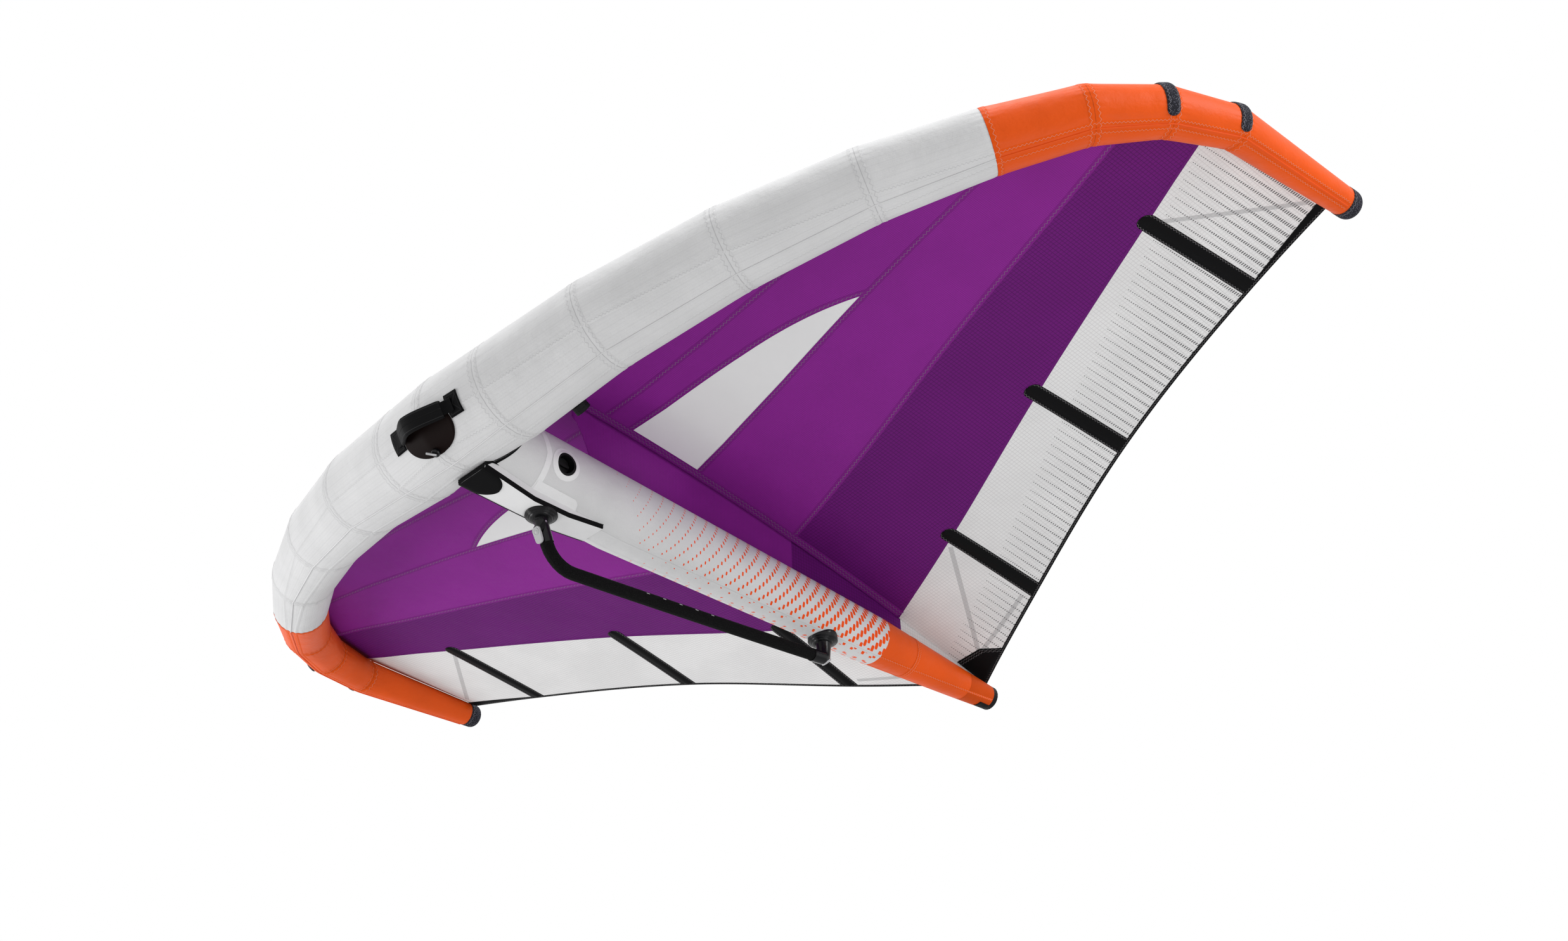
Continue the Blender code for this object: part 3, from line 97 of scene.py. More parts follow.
def seam_frame(k):
    """Directions of the cut at a seam, halfway between the stretches that it joins."""
    before = (seam_centre(k) - seam_centre(k - 1)).normalized() if k > -TIP else None
    after = (seam_centre(k + 1) - seam_centre(k)).normalized() if k < TIP else None
    before, after = before or after, after or before
    along = (before + after).normalized()
    back = Vector((0, 0, 1)).cross(along).normalized()
    bend = after - before
    bend = bend.normalized() if bend.length > 0 else back
    return along, back, along.cross(back), bend, along.dot(after)


seam_frames = {k: seam_frame(k) for k in range(-TIP, TIP + 1)}


def seam_point(k, angle, extra=0.0):
    _, back, lift, bend, cosine = seam_frames[k]
    turn = math.radians(angle)
    out = (back * math.cos(turn) + lift * math.sin(turn)) * (TUBE_RADIUS * SEAM_R[abs(k)] + extra)
    return seam_centre(k) + out + bend * out.dot(bend) * (1 / cosine - 1)


def tube(place, angle, extra=0.0):
    """Point on the round of the leading edge; place counts in seams from the middle."""
    k = min(max(math.floor(place), -TIP), TIP - 1)
    return seam_point(k, angle, extra).lerp(seam_point(k + 1, angle, extra), place - k)


def tube_place(x):
    return math.copysign(table(abs(x), [HALF_SPAN * share for share in SEAM_X], range(TIP + 1)), x)


def stretch_length(place):
    k = min(max(math.floor(place), -TIP), TIP - 1)
    return (seam_centre(k + 1) - seam_centre(k)).length


def skin(place, angle, lift=0.0):
    """Point on the sewn cloth: the tube with its dip and puckers beside the seams."""
    near, nearest = abs(place - round(place)) * stretch_length(place), round(place)
    turn = math.radians(angle)
    wave = math.sin(31 * turn + 2 * nearest) + 0.6 * math.sin(17 * turn + nearest)
    dip = 0.0009 * math.exp(-(near / 0.006)**2) + 0.0005 * (1 - wave * math.exp(-(near / 0.025)**2))
    return tube(place, angle, lift - dip)


class Wire:
    """An output of a shader node; arithmetic on it adds Math nodes to the look."""

    def __init__(self, look, socket):
        self.look, self.socket = look, socket

    def math(self, operation, other=0.0, third=0.0):
        return self.look.node("Math", {0: self, 1: other, 2: third}, operation=operation)

    def __add__(self, other):
        return self.math("ADD", other)

    __radd__ = __add__

    def __sub__(self, other):
        return self.math("SUBTRACT", other)

    def __rsub__(self, other):
        return self.math("MULTIPLY_ADD", -1.0, other)

    def __mul__(self, other):
        return self.math("MULTIPLY", other)

    __rmul__ = __mul__

    def __truediv__(self, other):
        return self.math("DIVIDE", other)

    def __lt__(self, other):
        return self.math("LESS_THAN", other)

    def __gt__(self, other):
        return self.math("GREATER_THAN", other)

    def __or__(self, other):
        return self.math("MAXIMUM", other)

    def __abs__(self):
        return self.math("ABSOLUTE")

    def whole(self):
        return self.math("FLOOR")

    def part(self):
        return self.math("FRACT")

    def fade(self, low, high):
        """Nought up to low, one from high on, and smooth between them."""
        return self.look.node("MapRange", {0: self, 1: low, 2: high}, interpolation_type="SMOOTHSTEP")

    def mix(self, first, second):
        """First colour where this is nought, second where it is one."""
        return self.look.node("Mix", {0: self, 6: first, 7: second}, out=2, data_type="RGBA")


def dimmed(tint, share):
    return tuple(c * share for c in tint)


def tone(tint, share=1.0):
    return (*dimmed(tint, share), 1)


class Nodes:
    """The nodes of a material or a world, and the shader that they end in."""

    def __init__(self, owner, shader):
        owner.use_nodes = True
        self.tree = owner.node_tree
        self.shader = self.tree.nodes[shader]

    def node(self, kind, inputs, out=0, **settings):
        """A node of any kind, its settings made before its sockets are set or linked."""
        made = self.tree.nodes.new("ShaderNode" + kind)
        for setting, value in settings.items():
            setattr(made, setting, value)
        for slot, value in inputs.items():
            if isinstance(value, Wire):
                self.tree.links.new(value.socket, made.inputs[slot])
            else:
                made.inputs[slot].default_value = value
        return Wire(self, made.outputs[out])

    def set(self, name, wire):
        self.tree.links.new(wire.socket, self.shader.inputs[name])


class Look(Nodes):
    """A finish: one material, with the relief of its patterns."""

    def __init__(self, name, roughness=0.5, metallic=0.0, coat=0.0, gloss=0.5, alpha=1.0):
        self.material = bpy.data.materials.new(name)
        super().__init__(self.material, "Principled BSDF")
        self.relief = None
        for socket, value in (("Roughness", roughness), ("Metallic", metallic), ("Coat Weight", coat),
                              ("Specular IOR Level", gloss), ("Alpha", alpha)):
            self.shader.inputs[socket].default_value = value

    def noise(self, scale, detail=3.0, roughness=0.55):
        return self.node("TexNoise", {"Vector": self.node("TexCoord", {}, out=3), "Scale": scale,
                                      "Detail": detail, "Roughness": roughness})

    def metres(self):
        """Metres along and across the piece, from its own layout."""
        layout = self.node("UVMap", {}, uv_map="UVMap")
        return [self.node("SeparateXYZ", {0: layout}, out=k) for k in (0, 1)]

    def raise_by(self, height, depth):
        part = height * depth
        self.relief = part if self.relief is None else self.relief + part

    def finish(self):
        if self.relief is not None:
            self.set("Normal", self.node("Bump", {"Strength": 1.0, "Distance": 1.0, "Height": self.relief}))
        return self.material


def cloth(name, tint, *patterns, roughness=0.6, crease=0.004, gloss=0.12, shade=0.07):
    """Woven cloth with a fine grain and faint crinkles, and the patterns printed or sewn on it."""
    look = Look(name, roughness, gloss=gloss)
    grain = look.noise(850, 2).fade(0.3, 0.7)
    base = look.noise(6, 4).fade(0.35, 0.65).mix(tone(tint, 1 - shade), tone(tint))
    base = (grain * 0.12).mix(base, tone(tint, 0.6))
    look.raise_by(look.noise(14, 5, 0.6), crease)
    look.raise_by(grain, 0.00008)
    look.raise_by(look.noise(5, 2), crease * 2)
    for pattern in patterns:
        base = pattern(look, base)
    look.set("Base Color", base)
    return look.finish()


def sewn(thread, *rows, pitch=0.0065, swing=0.0034, width=0.0009, cover=0.8):
    """Rows of zigzag thread along the piece."""
    def pattern(look, base):
        u, v = look.metres()
        wave = abs((u / pitch).part() - 0.5) * (2 * swing)
        for row in rows:
            mask = abs(v - wave - (row - swing / 2)) < width / 2
            base = (mask * cover).mix(base, tone(thread))
            look.raise_by(mask, 0.0004)
        return base
    return pattern


def creased(dark, half=0.0007):
    """A fine dark line where two cloths meet."""
    def pattern(look, base):
        line = abs(look.metres()[1]) < half
        look.raise_by(line, -0.0006)
        return (line * 0.7).mix(base, tone(dark))
    return pattern


def striped(look, base):
    """Faint lengthwise yarns of the sailcloth, some thicker than others."""
    v = look.metres()[1]
    stripe = ((v / 0.0063).part() < 0.16) * 0.6 | ((v / 0.0204).part() < 0.09)
    look.raise_by(stripe, 0.00008)
    return (stripe * 0.11).mix(base, tone((0.42, 0.42, 0.43)))


WHITE, ORANGE = (0.71, 0.71, 0.715), (0.84, 0.095, 0.003)
white_cloth = cloth("white_cloth", WHITE, striped)
orange_cloth = cloth("orange_cloth", ORANGE, roughness=0.45, gloss=0.2)
SEAM_ZIGZAG = {"pitch": 0.013, "swing": 0.005, "width": 0.0011}
white_seam = cloth("white_seam", dimmed(WHITE, 0.97), creased((0.42, 0.42, 0.43)),
                   sewn((0.50, 0.50, 0.51), -0.0095, 0.0095, **SEAM_ZIGZAG, cover=0.6))
orange_seam = cloth("orange_seam", dimmed(ORANGE, 0.97), creased((0.40, 0.05, 0.005)),
                    sewn((0.72, 0.42, 0.33), -0.0095, 0.0095, **SEAM_ZIGZAG, cover=0.6))
white_sewn = cloth("white_sewn", WHITE, sewn((0.50, 0.50, 0.51), 0.0, swing=0.004, pitch=0.009, cover=0.5))
orange_sewn = cloth("orange_sewn", ORANGE, sewn((0.75, 0.45, 0.36), 0.0, swing=0.004, pitch=0.009, cover=0.6))


def add_grid(mesh, layout, points, metres, look, closed):
    """Rows of points, in the wing's places, as one skin of faces."""
    rows = [[mesh.verts.new(p - ORIGIN) for p in line] for line in points]
    count = len(rows[0])
    for i in range(len(rows) - 1):
        for j in range(count if closed else count - 1):
            ring = [(i, j), (i, j + 1), (i + 1, j + 1), (i + 1, j)]
            corners = [rows[a][b % count] for a, b in ring]
            if len({tuple(corner.co) for corner in corners}) < 3:
                continue
            face = mesh.faces.new(corners)
            face.material_index, face.smooth = look, True
            for loop, (a, b) in zip(face.loops, ring):
                loop[layout].uv = metres[a][b]


def pierce(mesh, centre, axis, radius):
    """A round hole through the cloth, its edge drawn to the circle."""
    def reach(vertex):
        away = vertex.co - centre
        return away - axis * away.dot(axis)
    near = [v for v in mesh.verts if (v.co - centre).length < radius * 2 and reach(v).length < radius]
    inside = set(near)
    gone = [face for face in mesh.faces if all(v in inside for v in face.verts)]
    bmesh.ops.delete(mesh, geom=gone, context="FACES")
    for vertex in near:
        if vertex.is_valid:
            away = reach(vertex)
            vertex.co += away.normalized() * (radius - away.length)


def piece(name, grids, looks, body="wing", replaces=(), thick=0.0, side=0, holes=(), merge=0.0):
    """One object from grids of (points, metres, look number, closed), thick to one side of them."""
    mesh = bmesh.new()
    layout = mesh.loops.layers.uv.new("UVMap")
    for points, metres, look, closed in grids:
        add_grid(mesh, layout, points, metres, look, closed)
    if merge:
        bmesh.ops.remove_doubles(mesh, verts=mesh.verts, dist=merge)
    for hole in holes:
        pierce(mesh, *hole)
    data = bpy.data.meshes.new(name)
    mesh.to_mesh(data)
    mesh.free()
    for look in looks:
        data.materials.append(look)
    made = bpy.data.objects.new(name, data)
    bpy.context.scene.collection.objects.link(made)
    if thick:
        solid = made.modifiers.new("thick", "SOLIDIFY")
        solid.thickness, solid.offset = thick, side
    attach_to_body(made, body)
    if replaces:
        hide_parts(*replaces)
    return made


def band(at, stops, half, look=0, columns=4):
    """A strip along a line of a surface; at gives its point at a stop and a distance across."""
    points, metres, run, last = [], [], 0.0, None
    acrosses = steps(-half, half, columns)
    for stop in stops:
        middle = at(stop, 0.0)
        run += (middle - last).length if last else 0.0
        last = middle
        points.append([at(stop, across) for across in acrosses])
        metres.append([(run, across) for across in acrosses])
    return points, metres, look, False


SIDES = 120
NEAR_SEAM = (0, 0.008, 0.016, 0.028, 0.045, 0.07, 0.11, 0.18, 0.3, 0.5, 0.7, 0.82, 0.89, 0.93, 0.955, 0.972,
             0.984, 0.992)


def edge_grid(first, last, surface, sides=SIDES):
    points, metres, run = [], [], 0.0
    for k in range(first, last):
        for share in NEAR_SEAM + ((1,) if k == last - 1 else ()):
            angles = [360 * n / sides for n in range(sides)]
            points.append([surface(k + share, angle) for angle in angles])
            metres.append([(run + share * stretch_length(k), math.tau * n / sides * 0.1)
                           for n in range(sides + 1)])
        run += stretch_length(k)
    return points, metres, 0, True


def seam_band(seam, look):
    """Tape over the seam between two stretches; the orange lies on one side of the last white one."""
    points, metres = [], []
    low = 0.0 if seam == COLOUR_SEAM else -0.0135
    high = 0.0 if seam == -COLOUR_SEAM else 0.0135
    for n in range(SIDES + 1):
        angle, row, line = 360 * n / SIDES, [], []
        for across in steps(low, high, 12):
            length = stretch_length(seam + math.copysign(0.01, across))
            edge = 0.0002 if abs(across) > 0.013 else 0.0006
            line.append(skin(seam + across / length, angle, edge))
            row.append((math.radians(angle) * TUBE_RADIUS * SEAM_R[abs(seam)], across))
        points.append(line)
        metres.append(row)
    return points, metres, look, False


def edge_stops(low, high, rate):
    """Places along the leading edge, kept clear of the caps on its tips."""
    return steps(max(low, 0.08 - TIP), min(high, TIP - 0.08), (high - low) * rate)


def edge_line(angles, half, lift, low, high, look):
    """Sewn line along the leading edge, at a given angle by each seam."""
    def at(place, across):
        radius = TUBE_RADIUS * table(abs(place), range(TIP + 1), SEAM_R)
        angle = table(abs(place), range(len(angles)), angles)
        return skin(place, angle + math.degrees(across / radius), lift * (1.05 - (across / half)**2))
    return band(at, edge_stops(low, high, 16), half, look)


piece("leading_edge_cloth", [edge_grid(-COLOUR_SEAM, COLOUR_SEAM, skin)], [white_cloth],
      replaces=["leading_edge_sleeve"])
HANDS = ((-1, "left"), (1, "right"))
for side, hand in HANDS:
    first, last = sorted((side * COLOUR_SEAM, side * TIP))
    piece(f"tip_cloth_{hand}", [edge_grid(first, last, skin)], [orange_cloth],
          replaces=[f"tip_sleeve_{hand}"])
piece("edge_seam_tapes", [seam_band(k, 0 if abs(k) < COLOUR_SEAM else 1) for k in range(1 - TIP, TIP)],
      [white_seam, orange_seam])
EDGE_PARTS = ((-TIP, -COLOUR_SEAM, 1), (-COLOUR_SEAM, COLOUR_SEAM, 0), (COLOUR_SEAM, TIP, 1))
UPPER_ROW = (215, 214, 218, 226, 238, 244, 240, 239, 235, 228)
LOWER_ROW = (287, 286, 285, 281, 275, 264, 259, 259, 260, 258)
MIDDLE_ROW = (247, 251)
piece("edge_long_rows",
      [edge_line(row, 0.005, 0.0008, low, high, look) for row in (UPPER_ROW, LOWER_ROW)
       for low, high, look in EDGE_PARTS]
      + [edge_line(MIDDLE_ROW, 0.005, 0.0009, -1, 1, 0)], [white_sewn, orange_sewn])


def ring(middle, first, second, radius, sides):
    """Points round a circle that lies in two directions."""
    turns = steps(0, math.tau, sides)[:-1]
    return [middle + (first * math.cos(t) + second * math.sin(t)) * radius for t in turns]


def trim(path, radius, look=0, sides=10):
    """Round cord along a line of points, sewn down all along."""
    points, metres, run = [], [], 0.0
    for n, p in enumerate(path):
        way = (path[min(n + 1, len(path) - 1)] - path[max(n - 1, 0)]).normalized()
        across = way.cross(Vector((0, 0, 1))).normalized()
        run += (p - path[n - 1]).length if n else 0.0
        points.append(ring(p, across, across.cross(way), radius, sides))
        metres.append([(run, t * radius) for t in steps(0, math.tau, sides)])
    return points, metres, look, True


PIPING = (268, 260, 258, 258, 256, 254, 250, 248, 246, 245)
piping = []
for low, high, look in EDGE_PARTS:
    path = [skin(place, table(abs(place), range(TIP + 1), PIPING), 0.0006)
            for place in edge_stops(low, high, 12)]
    piping.append(trim(path, 0.0017, look))
piece("edge_piping", piping, [white_cloth, orange_cloth])

film = Look("bladder_film", 0.35)
film.set("Base Color", film.noise(12).mix(tone((0.70, 0.71, 0.64)), tone((0.78, 0.79, 0.72))))
film.raise_by(film.noise(30), 0.002)
bladder_film = film.finish()
piece("edge_air_bladder", [edge_grid(-TIP, TIP, lambda place, angle: tube(place, angle, -0.006), 32)],
      [bladder_film], replaces=["leading_edge_bladder"])


# Strut: a tapered tube of the same cloth down the middle, with its own bladder. A printed field
# of orange bars grows towards the orange tail; its valve sits in a welded ring on the right side.
STRUT_COLOUR_Y, STRUT_LEVEL_Y = 1.309, 0.45
STRUT_RADIUS, COLOUR_RADIUS, TAIL_RADIUS = 0.088, 0.062, 0.0315
STRUT_TAPER = (STRUT_RADIUS - COLOUR_RADIUS) / (STRUT_COLOUR_Y - STRUT_LEVEL_Y)


def strut_radius(y):
    return table(max(y, STRUT_LEVEL_Y), (STRUT_LEVEL_Y, STRUT_COLOUR_Y, STRUT_TAIL_Y),
                 (STRUT_RADIUS, COLOUR_RADIUS, TAIL_RADIUS))


def strut_axis(y):
    return 0.02 * max(0.0, 1 - y / STRUT_LEVEL_Y)


def strut(y, angle, extra=0.0):
    """Point on the round of the strut; angle 0 is its right side and -90 its underside."""
    turn, radius = math.radians(angle), strut_radius(y) + extra
    return Vector((radius * math.cos(turn), y, strut_axis(y) + radius * math.sin(turn)))


def strut_mouth(angle):
    """Where the strut's front end meets the leading edge."""
    x, y = STRUT_RADIUS * math.cos(math.radians(angle)), 0.1
    run = seam_centre(1) - seam_centre(0)
    middle = seam_centre(0) + run * abs(x / run.x)
    for _ in range(6):
        rise = strut_axis(y) + STRUT_RADIUS * math.sin(math.radians(angle)) - middle.z
        y = middle.y + math.sqrt(max((TUBE_RADIUS + 0.0016)**2 - rise**2, 0.0))
    return y


def strut_grid(ys, sides, extra=0.0, mouth=0):
    """Skin of the strut; its first rows run from the mouth when there is one."""
    points, metres = [], []
    for n in range(mouth + len(ys)):
        line, row = [], []
        for k in range(sides + 1):
            angle = -270 + 360 * k / sides
            y = ys[n - mouth] if n >= mouth else lerp(strut_mouth(angle), ys[0], n / mouth)
            line.append(strut(y, angle, extra))
            row.append((y, math.radians(angle + 90) * strut_radius(y)))
        points.append(line[:-1])
        metres.append(row)
    return points, metres, 0, True


BAR_RED = (0.88, 0.085, 0.006)
ROW_START, ROW_PITCH, ROW_WIND, BAR_PITCH = 0.5204, 0.0348, 0.0434, 0.0106
BARS_FROM, BARS_TO = 0.14, 2.95


def bars(look, base):
    """Rows of slanted bars that wind up both sides of the strut and swell towards its tail."""
    y, round_by = look.metres()
    away = abs(round_by)
    turn = away / (STRUT_RADIUS + (STRUT_LEVEL_Y - y) * STRUT_TAPER)
    row = (y - ROW_START - (turn - BARS_FROM) * ROW_WIND) / ROW_PITCH
    number = (row + 0.5).whole()
    off = (row - number) * ROW_PITCH
    low = (away / BAR_PITCH - number * 0.4).part() * BAR_PITCH
    long_by = ((0.0088 * y - 0.0024) | 0.0012) * (turn.fade(0.0, 0.5) * 0.5 + 0.5)
    wide_by = (0.0047 * y - 0.0011) | 0.0009
    bar = None
    for across in (low, low - BAR_PITCH):
        far, side = across / long_by, (off + across) / wide_by
        far, side = far * far, side * side
        mask = (far * far + side * side) < 1.0
        bar = mask if bar is None else bar | mask
    field = (turn > BARS_FROM) * (turn < BARS_TO) * (y + turn * 0.0788 > 0.531)
    return (bar * field).mix(base, tone(BAR_RED))


VALVE_Y, VALVE_ANGLE, VALVE_HOLE = 0.238, -12, 0.0254
valve_axis = Vector((math.cos(math.radians(VALVE_ANGLE)), -0.0094, math.sin(math.radians(VALVE_ANGLE))))
barred_cloth = cloth("barred_cloth", WHITE, bars)
piece("strut_cloth", [strut_grid(steps(0.185, 0.300, 30) + steps(0.31, STRUT_COLOUR_Y, 56), 144, mouth=6)],
      [barred_cloth], replaces=["strut_sleeve"],
      holes=[(strut(VALVE_Y, VALVE_ANGLE) - ORIGIN, valve_axis.normalized(), VALVE_HOLE)])
piece("strut_tail_cloth", [strut_grid(steps(STRUT_COLOUR_Y, STRUT_TAIL_Y, 24), 96)], [orange_cloth],
      replaces=["strut_tail_sleeve"])
piece("strut_air_bladder", [strut_grid(steps(0.30, STRUT_TAIL_Y - 0.003, 20), 32, extra=-0.005)],
      [bladder_film], replaces=["strut_bladder"])


def strut_ring(y, half, look, lift=0.0006, lean=0.0):
    """Ring round the strut; lean brings its underside back."""
    def at(angle, across):
        low = max(0.0, 100 - abs(angle + 270 if angle < -90 else angle - 90)) / 88
        return strut(y + lean * (1 - low)**2 + across, angle, lift)
    return band(at, steps(-270, 90, 96), half, look, 6)


def strut_line(x, low, high, look, half=0.0045):
    """Sewn line along the strut, at one distance from its centre plane."""
    def at(y, across):
        radius = strut_radius(y)
        angle = -90 + math.degrees(math.asin(x / radius) + across / radius)
        return strut(y, angle, 0.0006 * (1.05 - (across / half)**2))
    return band(at, steps(low, high, 40), half, look)


pale_patch = cloth("pale_patch", (0.86, 0.86, 0.865), roughness=0.5)
deep_orange = cloth("deep_orange", dimmed(ORANGE, 0.72))
orange_ring = cloth("orange_ring", ORANGE, sewn((0.80, 0.50, 0.40), -0.004, 0.004, swing=0.0024, cover=0.5))
white_fine = cloth("white_fine", WHITE, sewn((0.60, 0.60, 0.61), 0.0, swing=0.0024, pitch=0.006, cover=0.5))
TAIL_BAND_Y = 1.646
tail_band = strut_ring((STRUT_TAIL_Y + TAIL_BAND_Y) / 2, (STRUT_TAIL_Y - TAIL_BAND_Y) / 2, 1, 0.0004)
piece("strut_rings", [strut_ring(1.429, 0.0075, 0), tail_band], [orange_ring, deep_orange])
piece("strut_long_rows",
      [strut_line(x, low, high, look) for x in (-0.0237, 0.0237)
       for low, high, look in ((0.395, STRUT_COLOUR_Y, 0), (STRUT_COLOUR_Y, STRUT_TAIL_Y - 0.002, 1))],
      [white_fine, orange_sewn])
piece("strut_front_band", [strut_ring(0.1645, 0.0075, 0, 0.0005, lean=0.026)], [pale_patch])


def laid(rows, along=0, across=1, look=0):
    """Open grid whose metres are two of its points' own places."""
    return rows, [[(p[along], p[across]) for p in row] for row in rows], look, False


COLLAR = ((0.0256, 0.0036), (0.0276, 0.0036), (0.0300, 0.0020), (0.0330, 0.0009), (0.0375, 0.0006))
collar = []
for t in steps(0, math.tau, 60):
    collar.append([strut(VALVE_Y + radius * math.cos(t),
                         VALVE_ANGLE + math.degrees(radius * math.sin(t) / STRUT_RADIUS), lift)
                   for radius, lift in COLLAR])
piece("valve_collar", [laid(collar)], [pale_patch])
strap = band(lambda y, a: strut(y, -90 + math.degrees(a / 0.033), 0.0016), steps(1.706, 1.745, 8), 0.011)
strap_black = cloth("strap_black", (0.006, 0.006, 0.0065))
piece("tail_strap", [strap], [strap_black], thick=0.0012)
for side, hand in HANDS:
    points = []
    for y in steps(0.187, 0.309, 24):
        nose = 1 - min((0.309 - y) / 0.022, 1)
        high = 38 - math.degrees(0.022 * (1 - math.sqrt(1 - nose**2)) / 0.085)
        points.append([strut(y, -90 + side * a, 0.0010) for a in steps(12, high, 8)])
    piece(f"mount_patch_{hand}", [laid(points, 1, 0)], [pale_patch])


# Canopy: one cambered sheet of ripstop sewn from five rows of panels, with two windows of clear
# film in the second. Its front edge is sewn along the tube; the rows are purple, dark purple and
# white, and on the right half small dark marks grow along the white row towards its edge.
ATTACH_ANGLE, ATTACH_LIFT = 60, 0.0009
CAMBER, CAMBER_PLACE, CAMBER_END = 0.13, 0.18, 0.968
TAIL_Z, TRAILING_RISE = 0.038, 0.372
SEAM_START = (0.2315, 0.4015, 0.5874, 0.811, 1)
SEAM_END = (4.67, 5.74, 6.93, 7.93, 8.95)
SEAM_BOW = (0, -0.0114, -0.007, -0.004, -0.044)
WINDOW_FRONT, WINDOW_TIP = 0.2726 * ROOT_CHORD, 0.457 * HALF_SPAN
RISE_X, RISE_Z = (0, 0.21, 0.494, 0.815, 1), (0, 0.189, 0.521, 0.825, 1)
attach = [tube(k, ATTACH_ANGLE, ATTACH_LIFT) for k in range(TIP + 1)]
attach_x, attach_ys, attach_z = ([p[n] for p in attach] for n in range(3))
seam_ends = [tube(place, ATTACH_ANGLE, ATTACH_LIFT) for place in SEAM_END]


def attach_y(x):
    return table(x, attach_x, attach_ys)


def seam_line(number, x):
    end = seam_ends[number]
    share = x / end.x
    return (lerp(ROOT_CHORD * SEAM_START[number], end.y, share)
            + 4 * share * (1 - share) * ROOT_CHORD * SEAM_BOW[number])


def window_line(x):
    if x >= WINDOW_TIP:
        return seam_line(1, x)
    return lerp(WINDOW_FRONT, seam_line(1, WINDOW_TIP), (x / WINDOW_TIP)**4)


def edge_rise(x):
    """Rise of the trailing edge towards the tips, smooth through its places."""
    places, values = [HALF_SPAN * share for share in RISE_X], [TRAILING_RISE * share for share in RISE_Z]
    last = len(places) - 1
    slopes = [(values[min(k + 1, last)] - values[max(k - 1, 0)])
              / (places[min(k + 1, last)] - places[max(k - 1, 0)]) for k in range(last + 1)]
    k = next((k for k in range(last - 1) if x <= places[k + 1]), last - 1)
    span = places[k + 1] - places[k]
    t = (x - places[k]) / span
    return ((2 * t**3 - 3 * t**2 + 1) * values[k] + (t**3 - 2 * t**2 + t) * span * slopes[k]
            + (3 * t**2 - 2 * t**3) * values[k + 1] + (t**3 - t**2) * span * slopes[k + 1])


def canopy(x, y, lift=0.0):
    """Point of the canopy over a point of the plan."""
    side, x = math.copysign(1, x), abs(x)
    front_y, back_y = attach_y(x), seam_line(4, x)
    chord = min(max((y - front_y) / (back_y - front_y), 0.0), 1.0)
    peak = CAMBER_PLACE
    if chord < peak:
        arch = (2 * peak * chord - chord**2) / peak**2
    else:
        arch = (1 - 2 * peak + 2 * peak * chord - chord**2) / (1 - peak)**2
    fade = max(0.0, 1 - x / (HALF_SPAN * CAMBER_END))**1.2
    z = lerp(table(x, attach_x, attach_z), TAIL_Z + edge_rise(x), chord)
    return Vector((side * x, y, z + CAMBER * fade * arch + lift))


def ripstop(pitch, dark, share=0.14):
    """Thicker yarns woven in at a regular distance both ways."""
    def pattern(look, base):
        mesh = None
        for way in look.metres():
            yarn = (way / pitch).part() < share
            mesh = yarn if mesh is None else mesh | yarn
        look.raise_by(mesh, 0.00012)
        return (mesh * 0.75).mix(base, tone(dark))
    return pattern


def marks(look, base):
    """Small dark marks in slanting columns, larger towards the trailing edge and the tip."""
    x, y = look.metres()
    past = y + x * 0.53 - 1.60
    column = abs(((x - y * 0.08) / 0.022).part() - 0.5)
    row = abs((y / 0.0068).part() - 0.5)
    mask = (column < past * 0.46 + 0.045) * (row < past * 0.2 + 0.2) * (past > 0.0) * (x > 0.0)
    return (mask * 0.85).mix(base, tone((0.045, 0.045, 0.05)))


PURPLE, DARK_PURPLE, PALE = (0.285, 0.019, 0.315), (0.150, 0.008, 0.180), (0.84, 0.84, 0.84)
purple_cloth = cloth("purple_cloth", PURPLE, ripstop(0.0046, (0.17, 0.015, 0.19), 0.2), crease=0.002)
dark_purple = cloth("dark_purple_cloth", DARK_PURPLE, ripstop(0.009, (0.065, 0.004, 0.08)), crease=0.002)
pale_cloth = cloth("pale_cloth", PALE, ripstop(0.009, (0.63, 0.62, 0.625)), marks, crease=0.002)
film = Look("window_film", 0.18, alpha=0.72)
film.set("Base Color", film.noise(5).mix(tone((0.78, 0.78, 0.785)), tone((0.82, 0.82, 0.825))))
film.raise_by(film.noise(4, 3), 0.004)
window_film = film.finish()

SPAN_STEPS = 56


def row_x(number, share):
    """Place along a seam; the two round the window share one that falls on its tip."""
    end = seam_ends[number].x
    if number > 1 or share < 0:
        return end * abs(share)
    cut = 0.55
    return WINDOW_TIP * share / cut if share < cut else lerp(WINDOW_TIP, end, (share - cut) / (1 - cut))


def panel_row(front, front_end, back, back_end, count, look):
    """Grid of a row of panels between two lines of the plan, from tip to tip."""
    points, metres = [], []
    for t in steps(0, 1, count):
        line = []
        for n in range(-SPAN_STEPS, SPAN_STEPS + 1):
            share, side = abs(n) / SPAN_STEPS, math.copysign(1, n)
            front_x, back_x = row_x(front_end, share), row_x(back_end, share)
            point = canopy(lerp(front_x, back_x, t), lerp(front(front_x), back(back_x), t))
            if share == 1:
                point = tube(lerp(SEAM_END[front_end], SEAM_END[back_end], t), ATTACH_ANGLE, ATTACH_LIFT)
            point.x *= side
            line.append(point)
        points.append(line)
        metres.append([(p.x, p.y) for p in line])
    return points, metres, look, False


